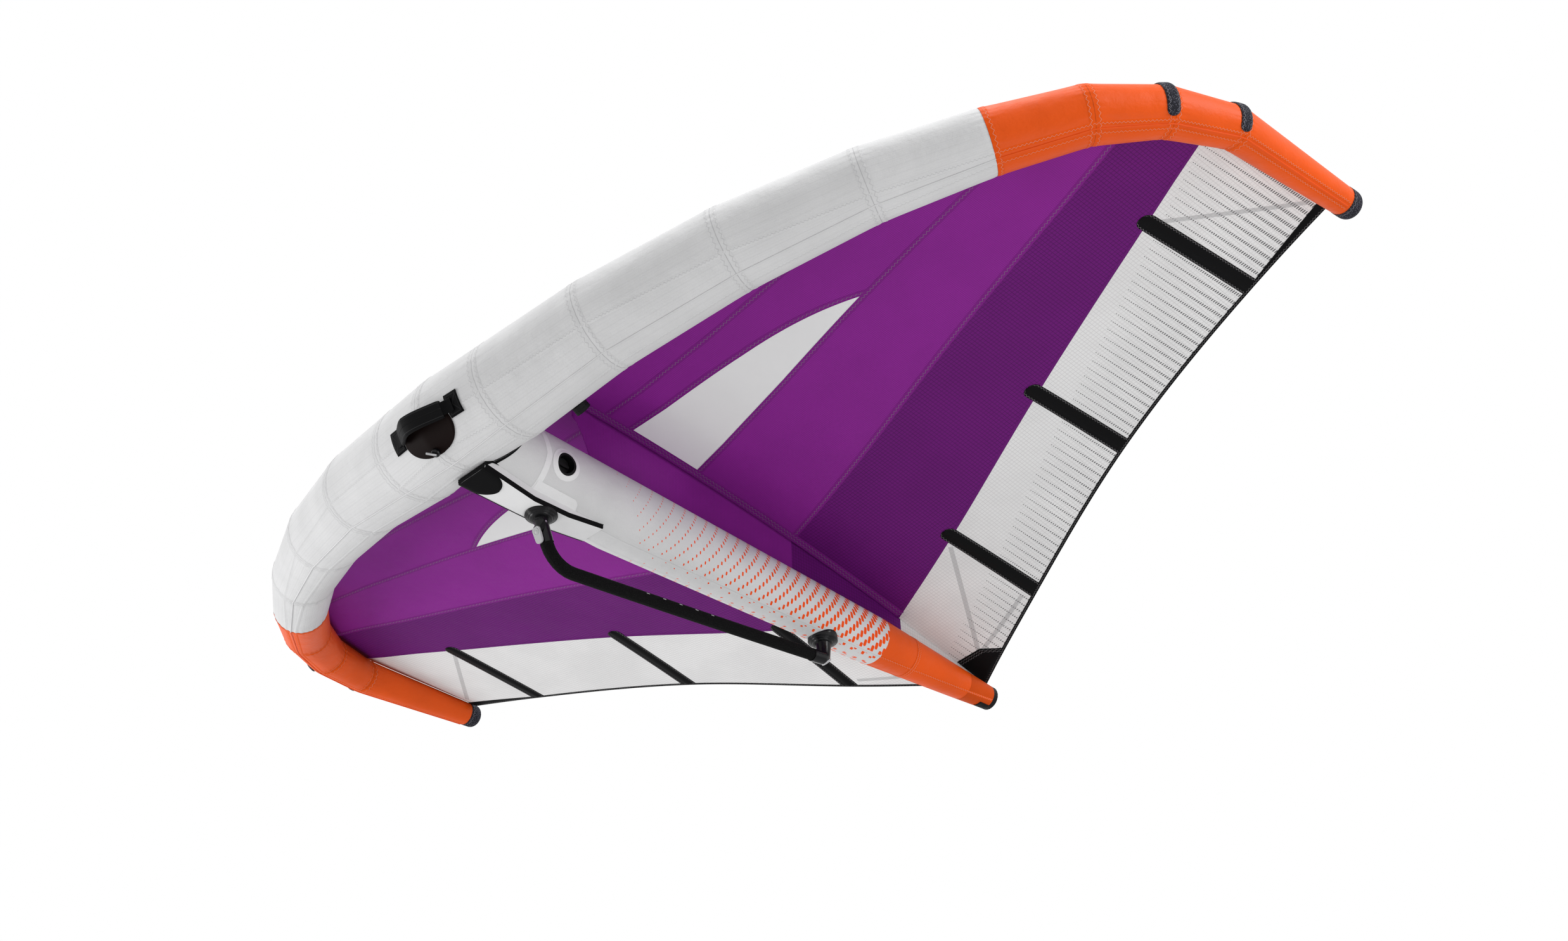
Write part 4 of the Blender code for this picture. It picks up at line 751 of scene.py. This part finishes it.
seam_ys = [lambda x, n=n: seam_line(n, x) for n in range(5)]
sheet = piece("canopy_sheet", [
    panel_row(attach_y, 0, seam_ys[0], 0, 14, 0), panel_row(seam_ys[0], 0, window_line, 1, 14, 0),
    panel_row(window_line, 1, seam_ys[1], 1, 12, 3), panel_row(seam_ys[1], 1, seam_ys[2], 2, 16, 0),
    panel_row(seam_ys[2], 2, seam_ys[3], 3, 20, 1), panel_row(seam_ys[3], 3, seam_ys[4], 4, 24, 2)],
    [purple_cloth, dark_purple, pale_cloth, window_film], thick=0.0008, merge=0.00005,
    replaces=[f"{name}_{hand}" for hand in ("left", "right") for name in (
        "canopy_front_panel", "canopy_window_panel", "window", "canopy_middle_panel", "canopy_rear_panel",
        "canopy_trailing_panel")])


# Canopy seams: the panels overlap by a finger's width and are sewn with one row of grey zigzag;
# the white row joins the dark one with a plain edge. Grey tapes take the load of the corners.
THREAD, ZIGZAG = (0.23, 0.17, 0.24), {"pitch": 0.011, "swing": 0.005, "width": 0.0014}
purple_seam = cloth("purple_seam", dimmed(PURPLE, 0.72), sewn(THREAD, 0.0, **ZIGZAG), crease=0.002)
dark_seam = cloth("dark_seam", dimmed(DARK_PURPLE, 0.92),
                  sewn((0.17, 0.03, 0.20), 0.0, pitch=0.008, swing=0.003), crease=0.002)


def plan_band(line, stops, half, look, lift, side):
    """Strip along a line of the plan, on one face of the canopy."""
    return band(lambda x, across: canopy(side * x, line(x) + across, lift), stops, half, look)


seams = []
for side in (-1, 1):
    for lift in (-0.0008, 0.0008):
        for n in (0, 1, 2):
            seams.append(plan_band(seam_ys[n], steps(0, seam_ends[n].x * 0.994, 60), 0.008, 0, lift, side))
        seams.append(plan_band(window_line, steps(0, WINDOW_TIP, 50), 0.008, 0, lift, side))
        seams.append(plan_band(lambda x: seam_line(3, x) - 0.0045, steps(0, seam_ends[3].x * 0.994, 60),
                               0.004, 1, lift, side))
piece("canopy_seam_strips", seams, [purple_seam, dark_seam])
tape = Look("load_tape", 0.45, alpha=0.32)
tape.set("Base Color", tape.noise(60).mix(tone((0.42, 0.42, 0.43)), tone((0.48, 0.48, 0.49))))
tape.raise_by(tape.noise(300), 0.0002)
load_tape = tape.finish()
LOAD_TAPES = ((0.070, 1.645, 0.275, 1.315), (0.085, 1.645, 0.290, 1.565), (1.250, 0.930, 1.490, 1.160))
tapes = []
for side in (-1, 1):
    for x0, y0, x1, y1 in LOAD_TAPES:
        across_x, across_y = Vector((y1 - y0, x0 - x1)).normalized()
        tapes.append(band(lambda t, a: canopy(side * (lerp(x0, x1, t) + across_x * a),
                                              lerp(y0, y1, t) + across_y * a, -0.0007),
                          steps(0, 1, 16), 0.006))
piece("canopy_load_tapes", tapes, [load_tape])


# Web: an upright sheet of the purple ripstop from the strut to the canopy, darker towards the
# tail, with a flange sewn along each edge by two rows of grey zigzag.
WEB_FRONT, WEB_TAIL = 0.318, ROOT_CHORD - 0.07


def web_foot(y):
    return strut_axis(y) + strut_radius(y) + 0.0008


points, metres = [], []
for y in steps(WEB_FRONT, WEB_TAIL, 90):
    top = canopy(0, y).z - 0.0012
    low = max(lerp(top - 0.035, web_foot(y), min((y - WEB_FRONT) / 0.067, 1)**1.5), web_foot(y))
    points.append([Vector((0, y, lerp(low, top, k / 12))) for k in range(13)])
    metres.append([(y, p.z) for p in points[-1]])
cuts = [0] + [next(n for n, row in enumerate(points) if row[0].y > seam_line(k, 0)) for k in (2, 3)] + [90]
web = piece("web_sheet", [(points[cuts[k]:cuts[k + 1] + 1], metres[cuts[k]:cuts[k + 1] + 1], k, False)
                          for k in range(3)],
            [purple_cloth, dark_purple, pale_cloth], replaces=["strut_web"], thick=0.001,
            merge=0.00001)
web_seam = cloth("web_seam", dimmed(PURPLE, 0.75), sewn(THREAD, -0.004, 0.005, **ZIGZAG),
                 crease=0.002)
flanges = []
for side in (-1, 1):
    flanges.append(band(lambda y, a: Vector((side * (0.0125 + a), y, canopy(0.0125 + a, y).z - 0.0009)),
                        steps(0.330, seam_line(3, 0.02), 60), 0.0125))
    flanges.append(band(
        lambda y, a: strut(y, 90 - side * math.degrees((a + 0.0105) / strut_radius(y)), 0.0009),
        steps(0.400, seam_line(3, 0), 60), 0.0095))
piece("web_flanges", flanges, [web_seam])


# Trailing edge: black tape folded over the cloth and widened at the tips, black patches in the
# corners of the tail, and three battens a side in black pockets with zigzag round their edges.
BLACK, GREY_THREAD = (0.0045, 0.0045, 0.005), (0.30, 0.29, 0.30)
black_cloth = cloth("black_cloth", BLACK, crease=0.0004, gloss=0.05)
EDGE_ZIGZAG = {"pitch": 0.009, "swing": 0.004, "width": 0.0012, "cover": 0.6}
black_taped = cloth("black_taped", BLACK, sewn((0.26, 0.25, 0.26), 0.0, **EDGE_ZIGZAG),
                    crease=0.0003, gloss=0.05)
patch_cloth = cloth("patch_cloth", BLACK, sewn(GREY_THREAD, 0.006, 0.014, **EDGE_ZIGZAG),
                    crease=0.0003, gloss=0.05)
pocket_cloth = cloth("pocket_cloth", (0.006, 0.006, 0.0065), sewn(GREY_THREAD, -0.019, 0.019, **EDGE_ZIGZAG),
                     crease=0.0003, gloss=0.05)
tapes = []
for side in (-1, 1):
    for lift in (1, -1):
        points, metres, run = [], [], 0.0
        for share in steps(0, 0.985, 90):
            x = seam_ends[4].x * share
            depth = lerp(0.0095, 0.030, max(0.0, (share - 0.83) / 0.155))
            back = canopy(side * x, seam_line(4, x))
            run += (back - points[-1][-1]).length if points else 0.0
            line = [canopy(side * x, back.y - depth * (1 - t), -0.0010 * lift) for t in (0, 0.3, 0.6, 0.85)]
            points.append(line + [back + Vector((0, 0.0012, -0.0007 * lift)), back + Vector((0, 0.0015, 0))])
            metres.append([(run, 0.0045 - depth * (1 - t)) for t in (0, 0.3, 0.6, 0.85, 1, 1.05)])
        tapes.append((points, metres, 0, False))
piece("trailing_tape", tapes, [black_taped], replaces=["trailing_edge_tape"], merge=0.00001)
BATTENS = ((0.3007, 1.262, 0.3271), (0.7409, 1.075, 0.7704), (1.2307, 0.889, 1.2633))
for side, hand in HANDS:
    points, metres = [], []
    for x in steps(0.002, 0.130, 26):
        front, back = 1.637 + max(0.0, x - 0.08) * 0.76, seam_line(4, x) - 0.008
        points.append([canopy(side * x, lerp(front, back, t), -0.0013) for t in steps(0, 1, 8)])
        metres.append([(x, p.y - front) for p in points[-1]])
    piece(f"tail_patch_{hand}", [(points, metres, 0, False)], [patch_cloth],
          replaces=[f"tail_corner_patch_{hand}"], thick=0.0012)
    for number, (front_x, front_y, tail_x) in enumerate(BATTENS, start=1):
        tail_y = seam_line(4, tail_x) - 0.009
        slope = (seam_line(4, tail_x + 0.018) - seam_line(4, tail_x)) / 0.018
        points, metres = [], []
        for share in (0, 0.006, 0.014, 0.025, 0.04, 0.06, 0.1, 0.2, 0.3, 0.4, 0.5, 0.6, 0.7, 0.8, 0.9, 1):
            half = 0.0225 * math.sqrt(1 - (1 - min(share / 0.06, 1))**2 * 0.96)
            y, line, row = lerp(front_y, tail_y, share), [], []
            for t in (-1, -0.94, -0.65, -0.45, -0.3, 0, 0.3, 0.45, 0.65, 0.94, 1):
                high = 0.0006 if abs(t) > 0.95 else 0.0012 + 0.0026 * math.exp(-(t / 0.38)**4)
                line.append(canopy(side * (lerp(front_x, tail_x, share) + half * t),
                                   y + half * t * slope * share, -high))
                row.append((y, 0.0225 * t))
            points.append(line)
            metres.append(row)
        piece(f"batten_{number}_{hand}", [(points, metres, 0, False)], [pocket_cloth],
              replaces=[f"batten_pocket_{number}_{hand}"])


# Tips: domed caps of dark speckled cloth sewn on the ends of the tube, and two padded strips of
# it over the front of each tip, which take the knocks of the board and the water.
def speckled(name, *patterns):
    look = Look(name, 0.75, gloss=0.12)
    dots = look.noise(420, 1).fade(0.56, 0.66)
    base = (dots * 0.7).mix(tone((0.016, 0.016, 0.022)), tone((0.16, 0.16, 0.20)))
    for pattern in patterns:
        base = pattern(look, base)
    look.raise_by(dots, 0.0002)
    look.set("Base Color", base)
    return look.finish()


def lathe(profile, sides, origin, axis):
    """Grid of a turned profile of (radius, height) points."""
    across = axis.orthogonal().normalized()
    other = axis.cross(across)
    points, metres, run = [], [], 0.0
    for n, (radius, height) in enumerate(profile):
        run += math.dist(profile[n - 1], profile[n]) if n else 0.0
        points.append(ring(origin + axis * height, across, other, radius, sides))
        metres.append([(t * profile[0][0], run) for t in steps(0, math.tau, sides)])
    return points, metres, 0, True


speckled_cloth = speckled("speckled_cloth", sewn((0.30, 0.29, 0.32), 0.008, **EDGE_ZIGZAG))
speckled_pad = speckled("speckled_pad", sewn((0.30, 0.29, 0.32), -0.0095, 0.0095, **EDGE_ZIGZAG))
tip_radius = TUBE_RADIUS * SEAM_R[TIP]
DOME = [(tip_radius + 0.0012, -0.026), (tip_radius + 0.0014, -0.012), (tip_radius + 0.0010, 0.0)] + [
    (tip_radius * math.cos(a) + 0.0006, 0.022 * math.sin(a)) for a in steps(0.08, 1.55, 12)]
for side, hand in HANDS:
    dome = lathe(DOME, 72, seam_centre(side * TIP), seam_frames[side * TIP][0] * side)
    piece(f"tip_dome_{hand}", [dome], [speckled_cloth], replaces=[f"tip_cap_{hand}"])
    for number, seam in enumerate((7, 8), start=1):
        points, metres = [], []
        radius = TUBE_RADIUS * SEAM_R[seam]
        for angle in steps(90, 231, 56):
            end = math.radians(min(angle - 90, 231 - angle)) * radius
            half = 0.0142 * math.sqrt(1 - (1 - min(end / 0.0142, 1))**2 * 0.96)
            line, row = [], []
            for t in steps(-1, 1, 10):
                across = half * t - 0.006
                length = stretch_length(side * (seam + math.copysign(0.01, across)))
                high = 0.0004 + 0.0032 * (1 - abs(t)**6 * 0.9) * min(end / 0.006, 1)**0.5
                line.append(tube(side * (seam + across / length), angle, high))
                row.append((math.radians(angle) * radius, half * t))
            points.append(line)
            metres.append(row)
        piece(f"tip_pad_{number}_{hand}", [(points, metres, 0, False)], [speckled_pad],
              replaces=[f"tip_guard_{number}_{hand}"])


# Bridge: a white moulded plate that carries the boom's front mount, bent down from the leading
# edge and run out flush on the strut. Black tape edges it, and a black lip laps the leading edge.
BRIDGE_Y, BRIDGE_Z = (0.047, 0.196, 0.292, 0.390), (-0.085, -0.0985, -0.0985, -0.0863)
BRIDGE_END = BRIDGE_Y[-1]


def bridge_half(y):
    return table(y, (BRIDGE_Y[0], BRIDGE_Y[1], BRIDGE_END), (0.046, 0.034, 0.036))


def bridge_seat(y, x):
    """Height of the strut's or the leading edge's underside above the bridge."""
    return min(strut_axis(y) - math.sqrt(strut_radius(y)**2 - x**2),
               TUBE_LIFT - math.sqrt(max(TUBE_RADIUS**2 - y**2, 0.0))) - 0.0006


def bridge_floor(y):
    return table(y, BRIDGE_Y, BRIDGE_Z)


bridge = []
for y in steps(BRIDGE_Y[0], BRIDGE_Y[1], 24)[:-1] + steps(BRIDGE_Y[1], BRIDGE_END, 44):
    half, edge = bridge_half(y), bridge_floor(y)
    corner = min(0.003, (bridge_seat(y, half) - edge) * 0.4)
    line = [Vector((half, y, lerp(bridge_seat(y, half), edge + corner, t))) for t in steps(0, 1, 4)[:-1]]
    line += [Vector((half - corner * (1 - math.cos(a)), y, edge + corner * (1 - math.sin(a))))
             for a in steps(0, math.pi / 2, 5)]
    line += [Vector((x, y, edge)) for x in steps(half - corner - 0.0004, 0, 8)]
    bridge.append([Vector((-p.x, p.y, p.z)) for p in line] + line[::-1][1:])
ends = [[row, [Vector((p.x, p.y, max(q.z for q in row))) for p in row]] for row in (bridge[0], bridge[-1])]
bridge_white = cloth("bridge_white", (0.80, 0.80, 0.805), roughness=0.4, crease=0.0003)
piece("bridge_cover", [laid(bridge, 1, 0), laid(ends[0], 0, 2, look=1), laid(ends[1], 0, 2)],
      [bridge_white, black_cloth], replaces=["boom_bridge"])


def bridge_side(y, high, side):
    """Point on the side of the bridge and on over the strut, by its height from the plate's edge."""
    half, edge = bridge_half(y), bridge_floor(y)
    wall = bridge_seat(y, half) - edge
    if high < 0:
        return Vector((side * (half + high), y, edge - 0.0006))
    if high < wall or y < 0.12:
        return Vector((side * (half + 0.0006), y, edge + min(high, wall)))
    turn = math.degrees(math.acos(min(half / strut_radius(y), 1)))
    turn = -turn + math.degrees((high - wall) / strut_radius(y))
    return strut(y, turn if side > 0 else -180 - turn, 0.0010)


edges = []
for side in (-1, 1):
    rows = [[bridge_side(y, high, side) for high in (-0.0025, -0.0012, 0, 0.002, 0.004, 0.006, 0.008, 0.0105)]
            for y in steps(0.048, BRIDGE_Y[1], 24)[:-1] + steps(BRIDGE_Y[1], BRIDGE_END - 0.001, 44)]
    edges.append(laid(rows, 1, 2))
    rows = []
    for y in steps(0.0465, 0.086, 12):
        seat = bridge_seat(y, bridge_half(y))
        rows.append([Vector((side * (bridge_half(y) + 0.0008), y, z))
                     for z in steps(seat - (0.088 - y) * 0.22, seat + 0.001, 3)])
    edges.append(laid(rows, 1, 2))
piece("bridge_tape", edges, [black_cloth])
tongue = []
for y in steps(0.046, 0.121, 40):
    share = max(0.0, (y - 0.080) / 0.041)
    half = (bridge_half(y) - 0.001) * max(math.sqrt(max(1 - share**2, 0.0)), 0.04)
    tongue.append([Vector((half * t, y, bridge_floor(y) - 0.0018 * (1 - t**8) - 0.0004))
                   for t in steps(-1, 1, 16)])
piece("bridge_lip", [laid(tongue)], [black_cloth], replaces=["bridge_tongue"], thick=0.001)
for side, hand in HANDS:
    points = []
    for angle in steps(-78, -6, 30):
        half = 0.0058 * (-6 - angle) / 72
        turn = angle if side > 0 else -180 - angle
        points.append([strut(strut_mouth(turn) + half + half * t, turn, 0.0010) for t in steps(-1, 1, 4)])
    piece(f"mouth_trim_{hand}", [laid(points, 2, 1)], [black_cloth])


# Boom: a foam-covered tube between two glossy necks, which stand on ridged discs under the bridge
# and the strut. The front neck's grey lever lets it go; plain white marks count along the grip.
def plastic(name, tint, roughness, coat=0.0, ridges=None):
    look = Look(name, roughness, coat=coat, gloss=0.15)
    look.set("Base Color", look.noise(30).mix(tone(tint, 0.85), tone(tint)))
    look.set("Roughness", look.noise(60) * (roughness * 0.4) + roughness * 0.8)
    look.raise_by(look.noise(700, 2), 0.00002)
    if ridges:
        look.raise_by((look.metres()[1] * (math.tau / ridges)).math("SINE"), 0.00025)
    return look.finish()


def paint(look, *names):
    for name in names:
        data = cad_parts[name].data
        data.materials.clear()
        data.materials.append(look)


black_gloss = plastic("black_plastic", (0.006, 0.006, 0.007), 0.2, 0.2)
ridged_gloss = plastic("ridged_plastic", (0.006, 0.006, 0.007), 0.2, 0.2, 0.0035)
matt_plastic = plastic("matt_plastic", (0.006, 0.006, 0.0065), 0.5)
grey_plastic = plastic("grey_plastic", (0.50, 0.50, 0.51), 0.4)
foam = Look("grip_foam", 0.85, gloss=0.08)
foam.set("Base Color", foam.noise(500, 2).fade(0.4, 0.7).mix(tone((0.003,) * 3), tone((0.009,) * 3)))
foam.raise_by(foam.noise(900, 2), 0.0004)
metal = Look("alloy", 0.28, metallic=1.0)
metal.set("Base Color", metal.noise(90).mix(tone((0.42, 0.42, 0.43)), tone((0.55, 0.55, 0.56))))
metal.raise_by(metal.noise(400), 0.00005)
alloy = metal.finish()
paint(black_gloss, "leash_button")
paint(matt_plastic, "strut_end_cap", "strut_valve_cup", "strut_valve_plug", "edge_valve_base",
      "edge_valve_cap")
paint(foam.finish(), "boom_grip")
paint(alloy, "boom_tube", "latch_pin", "rear_hinge_pin", "leash_pin")

FRONT_MOUNT_Y, REAR_MOUNT_Y, DISC_HEIGHT = 0.241, 1.128, 0.0120
DISC = ((0.0370, 0.0034), (0.0364, 0.0041), (0.0314, 0.0046), (0.0307, 0.0054), (0.0306, 0.0072),
        (0.0299, 0.0079), (0.0254, 0.0083), (0.0247, 0.0090), (0.0246, 0.0112), (0.0239, 0.0119),
        (0.0190, DISC_HEIGHT), (0.0040, DISC_HEIGHT))
for name, y, base in (("front_mount", FRONT_MOUNT_Y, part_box("front_mount")[1].z),
                      ("rear_mount", REAR_MOUNT_Y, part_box("rear_mount")[0].z + DISC_HEIGHT)):
    disc = lathe(((0.0368, 0.0), *DISC), 96, Vector((0, y, base + ORIGIN.z)), Vector((0, 0, -1)))
    if name == "rear_mount":
        for p in disc[0][0]:
            p.z = strut_axis(y) - math.sqrt(strut_radius(p.y)**2 - p.x**2) + 0.0004
    piece(f"{name}_disc", [disc], [ridged_gloss], replaces=[name])


BOOM_START, BOOM_SLOPE, GRIP_RADIUS = (0.283, -0.2185), 0.1153, 0.0152


def boom_line(y):
    """Height of the grip's middle line."""
    return BOOM_START[1] + BOOM_SLOPE * (y - BOOM_START[0])


def neck(path, radii):
    """Round neck along a path in the centre plane."""
    points, metres, run = [], [], 0.0
    for n, (y, z) in enumerate(path):
        before, after = path[max(n - 1, 0)], path[min(n + 1, len(path) - 1)]
        lift = Vector((0, before[1] - after[1], after[0] - before[0])).normalized()
        run += math.dist(before, (y, z))
        points.append(ring(Vector((0, y, z)), Vector((1, 0, 0)), lift, radii[n], 48))
        metres.append([(t * 0.016, run) for t in steps(0, math.tau, 48)])
    return points, metres, 0, True


fitting_low, fitting_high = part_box("front_fitting")
top = Vector((0, FRONT_MOUNT_Y, fitting_high.z + ORIGIN.z - 0.0094))
foot = Vector((0, fitting_low.y + ORIGIN.y + 0.0352, fitting_low.z + ORIGIN.z + 0.0058))
path = [(lerp(top.y, foot.y, max(0.0, t - 0.12) / 0.88), lerp(top.z, foot.z, t)) for t in steps(0, 1, 20)]
piece("front_neck", [neck(path, [0.0150 + 0.0016 * (1 - t)**2 for t in steps(0, 1, 20)])], [black_gloss],
      body="boom", replaces=["front_fitting"])
rear_low, rear_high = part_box("rear_fitting")
neck_y, elbow_z = REAR_MOUNT_Y + 0.0015, boom_line(REAR_MOUNT_Y) + 0.010
path = [(neck_y, z) for z in steps(rear_high.z + ORIGIN.z - 0.007, elbow_z, 8)]
path += [(neck_y - 0.009 * (1 - math.cos(a)), elbow_z - 0.0105 * math.sin(a))
         for a in steps(0.2, math.pi / 2, 8)]
path += [(y, boom_line(y)) for y in steps(1.112, rear_low.y + ORIGIN.y, 6)]
piece("rear_neck", [neck(path, [0.0162 + 0.0040 * max(0.0, 1 - n / 9)**1.5 for n in range(len(path))])],
      [black_gloss], body="boom", replaces=["rear_fitting"])

out = Vector((0, 0.77, -0.64)).normalized()
cap = Vector((0, REAR_MOUNT_Y - 0.0011, boom_line(REAR_MOUNT_Y) + 0.0026)) + out * 0.0148
CAP = ((0.0132, -0.004), (0.0132, 0.0004), (0.0120, 0.0013), (0.0001, 0.0018))
piece("boom_cap", [lathe(CAP, 48, cap, out)], [grey_plastic], body="boom",
      replaces=["boom_end_cap"])

LEVER_LENGTH, LEVER_CORNER = 0.0385, 0.008
lever_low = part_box("latch_lever")[0]
lever_foot = Vector((0, lever_low.y + 0.0147, lever_low.z)) + ORIGIN
lever_pivot = Vector((0, -0.4232, 0.0515)) + ORIGIN
lever_up, lever_out = Vector((0, -0.406, 0.914)), Vector((0, -0.914, -0.406))
plate = []
for s in (0, 0.0005, 0.0015, 0.003, 0.005, 0.008, 0.014, 0.020, 0.026, 0.0305, 0.0335, 0.0355, 0.037, 0.038,
          LEVER_LENGTH):
    rounding = max(LEVER_CORNER - min(s, LEVER_LENGTH - s), 0)
    half = lerp(0.0100, 0.0122, s / LEVER_LENGTH) - LEVER_CORNER + math.sqrt(LEVER_CORNER**2 - rounding**2)
    plate.append([lever_foot + lever_up * s + Vector((half * t, 0, 0)) for t in steps(-1, 1, 14)])
piece("lever_plate", [laid(plate, 0, 2)], [grey_plastic], body="latch_lever",
      replaces=["latch_lever"], thick=0.005)
cheeks = []
for side in (-1, 1):
    rows = []
    for t in steps(0, 1, 6):
        aside = Vector((side * lerp(0.0118, 0.0166, min(t * 2, 1)), 0, 0))
        rows.append([aside + (lever_foot + lever_up * s - lever_out * 0.002).lerp(
            lever_pivot + lever_up * (s - 0.0305) * 0.9, t) for s in steps(0.024, 0.037, 8)])
    cheeks.append(laid(rows, 1, 2))
piece("lever_cheeks", cheeks, [matt_plastic], body="latch_lever", thick=0.002)
BOSS = ((0.0080, -0.001), (0.0080, 0.0007), (0.0074, 0.0012), (0.0064, 0.0012), (0.0060, 0.0006),
        (0.0046, 0.0006), (0.0042, 0.0011), (0.0001, 0.0012))
boss = lathe(BOSS, 40, lever_foot + lever_up * 0.0275 + lever_out * 0.0024, lever_out)
piece("lever_boss", [boss], [grey_plastic], body="latch_lever")

MARKS_Y, MARK_ANGLE = (0.545, 0.595, 0.645, 0.695, 0.745), math.radians(18.3)
boom_way = Vector((0, 1, BOOM_SLOPE)).normalized()
boom_lift = Vector((0, -boom_way.z, boom_way.y))
grip_marks = []
for y in MARKS_Y:
    rows = []
    for along in steps(-0.0045, 0.0045, 2):
        middle = Vector((0, y, boom_line(y))) + boom_way * along
        rows.append([middle + (Vector((math.cos(t), 0, 0)) + boom_lift * math.sin(t)) * (GRIP_RADIUS + 0.0003)
                     for t in steps(MARK_ANGLE + 0.085, MARK_ANGLE - 0.085, 4)])
    grip_marks.append(laid(rows, 1, 0))
piece("grip_marks", grip_marks, [grey_plastic], body="boom")


# Handle: a padded webbing strap over an oval patch at the middle of the leading edge, sewn down
# at both ends by a box of stitches with its two diagonals.
HANDLE_X, HANDLE_ANGLE, HANDLE_HALF = 0.010, 210, 0.084


def on_edge(x, angle, high=0.0):
    return tube(tube_place(x), angle, high)


def boxed(look, base):
    """Ribs of the webbing, with a box of stitches and its two diagonals."""
    u, v = look.metres()
    ribs = (v / 0.0022).part() < 0.5
    outer = (abs(u) < 0.013) * (abs(v) < 0.021)
    rim = outer * ((abs(u) > 0.0118) | (abs(v) > 0.0198))
    mask = rim | outer * (abs(abs(u) * 1.615 - abs(v)) < 0.0012)
    look.raise_by(ribs, 0.0003)
    look.raise_by(mask, 0.0003)
    return (mask * 0.3).mix(base, tone((0.06, 0.06, 0.06)))


def grooved(look, base):
    """Stitched groove down the middle of the pad, and faint rows along its edges."""
    side = abs(look.metres()[1])
    look.raise_by(side.fade(0, 0.0022), 0.0012)
    return ((abs(side - 0.0155) < 0.0006) * 0.5).mix(base, tone((0.05, 0.05, 0.052)))


oval_cloth = cloth("oval_cloth", (0.008, 0.004, 0.0035), crease=0.0003, gloss=0.05)
webbing = cloth("webbing", BLACK, boxed, crease=0.0002, gloss=0.05)
pad_cloth = cloth("pad_cloth", (0.005, 0.005, 0.0055), grooved, crease=0.0006, gloss=0.08)
oval = []
for t in steps(-1, 1, 28):
    half = 0.066 * max(math.sqrt(1 - t**2), 0.1)
    oval.append([on_edge(HANDLE_X + half * s, 222 + 27 * t, 0.0012) for s in steps(-1, 1, 20)])
piece("handle_patch", [laid(oval, 0, 2)], [oval_cloth], replaces=["handle_backing"],
      thick=0.001)
for side, hand in HANDS:
    points, metres = [], []
    for across in steps(-0.026, 0.026, 8):
        angle = HANDLE_ANGLE + math.degrees(across / TUBE_RADIUS)
        xs = steps(-0.016, 0.016, 6)
        points.append([on_edge(HANDLE_X + side * HANDLE_HALF + x, angle, 0.0018) for x in xs])
        metres.append([(x, across) for x in xs])
    piece(f"anchor_{hand}", [(points, metres, 0, False)], [webbing],
          replaces=[f"handle_anchor_{hand}"], thick=0.0016)


def handle_grid(reach, half, low, high, sides, rows):
    """Closed skin round the arched strap, out to a share of its length."""
    turn = math.radians(HANDLE_ANGLE)
    across = Vector((0, -math.sin(turn), math.cos(turn)))
    points, metres = [], []
    for share in steps(-reach, reach, rows):
        fat = math.sqrt(1 - (1 - min((reach - abs(share)) / 0.07, 1))**2 * 0.8) if reach < 1 else 1
        base = 0.0028 + 0.036 * (1 + math.cos(math.pi * share)) / 2
        line, row = [], []
        for k in range(sides + 1):
            c, s = math.cos(math.tau * k / sides), math.sin(math.tau * k / sides)
            wide = half * lerp(0.85, 1, fat) * math.copysign(abs(c)**0.55, c)
            height = base + fat * lerp(low, high, (math.copysign(abs(s)**0.7, s) + 1) / 2)
            line.append(on_edge(HANDLE_X + share * HANDLE_HALF, HANDLE_ANGLE, height) + across * wide)
            row.append((share * HANDLE_HALF, wide))
        points.append(line[:-1])
        metres.append(row)
    return points, metres, 0, True


piece("handle_webbing", [handle_grid(1, 0.015, 0.0, 0.003, 12, 40)], [webbing],
      replaces=["handle_strap"])
pad = piece("handle_padding", [handle_grid(0.738, 0.0205, -0.0048, 0.0082, 40, 72)], [pad_cloth],
            replaces=["handle_pad"])


# Studio: white all round for the camera and in reflections, soft light from four large panels,
# and a plain pale floor well below the wing.
PANELS = {"left_panel": ((-4.5, -3.5, -1.5), 3.0, 165), "top_panel": ((0.5, -1.6, 4.8), 3.5, 170),
          "right_panel": ((3.0, 0.4, -2.6), 2.2, 32), "side_panel": ((5.0, 0.8, 2.2), 2.5, 110)}
for name, (place, size, power) in PANELS.items():
    light = bpy.data.objects.new(name, bpy.data.lights.new(name, "AREA"))
    light.data.shape, light.data.size, light.data.energy = "DISK", size, power
    bpy.context.scene.collection.objects.link(light)
    light.location = place
    light.rotation_mode = "QUATERNION"
    light.rotation_quaternion = (Vector((0, 0, 0.2)) - light.location).to_track_quat("-Z", "Y")

studio = bpy.data.worlds.new("studio")
bpy.context.scene.world = studio
backdrop = Nodes(studio, "Background")
seen, mirrored, through = (backdrop.node("LightPath", {}, out=f"Is {ray} Ray")
                           for ray in ("Camera", "Glossy", "Transmission"))
backdrop.set("Color", (seen | mirrored | through).mix(tone((0.60,) * 3), tone((1, 1, 1))))
bpy.context.scene.view_settings.view_transform = "Standard"

ground = bmesh.new()
bmesh.ops.create_grid(ground, x_segments=2, y_segments=2, size=20)
data = bpy.data.meshes.new("floor")
ground.to_mesh(data)
ground.free()
floor = bpy.data.objects.new("floor", data)
bpy.context.scene.collection.objects.link(floor)
floor.location.z = -5.0
floor_look = Look("floor_paint", 0.6)
floor_look.set("Base Color", floor_look.noise(2).mix(tone((0.78,) * 3), tone((0.82,) * 3)))
data.materials.append(floor_look.finish())
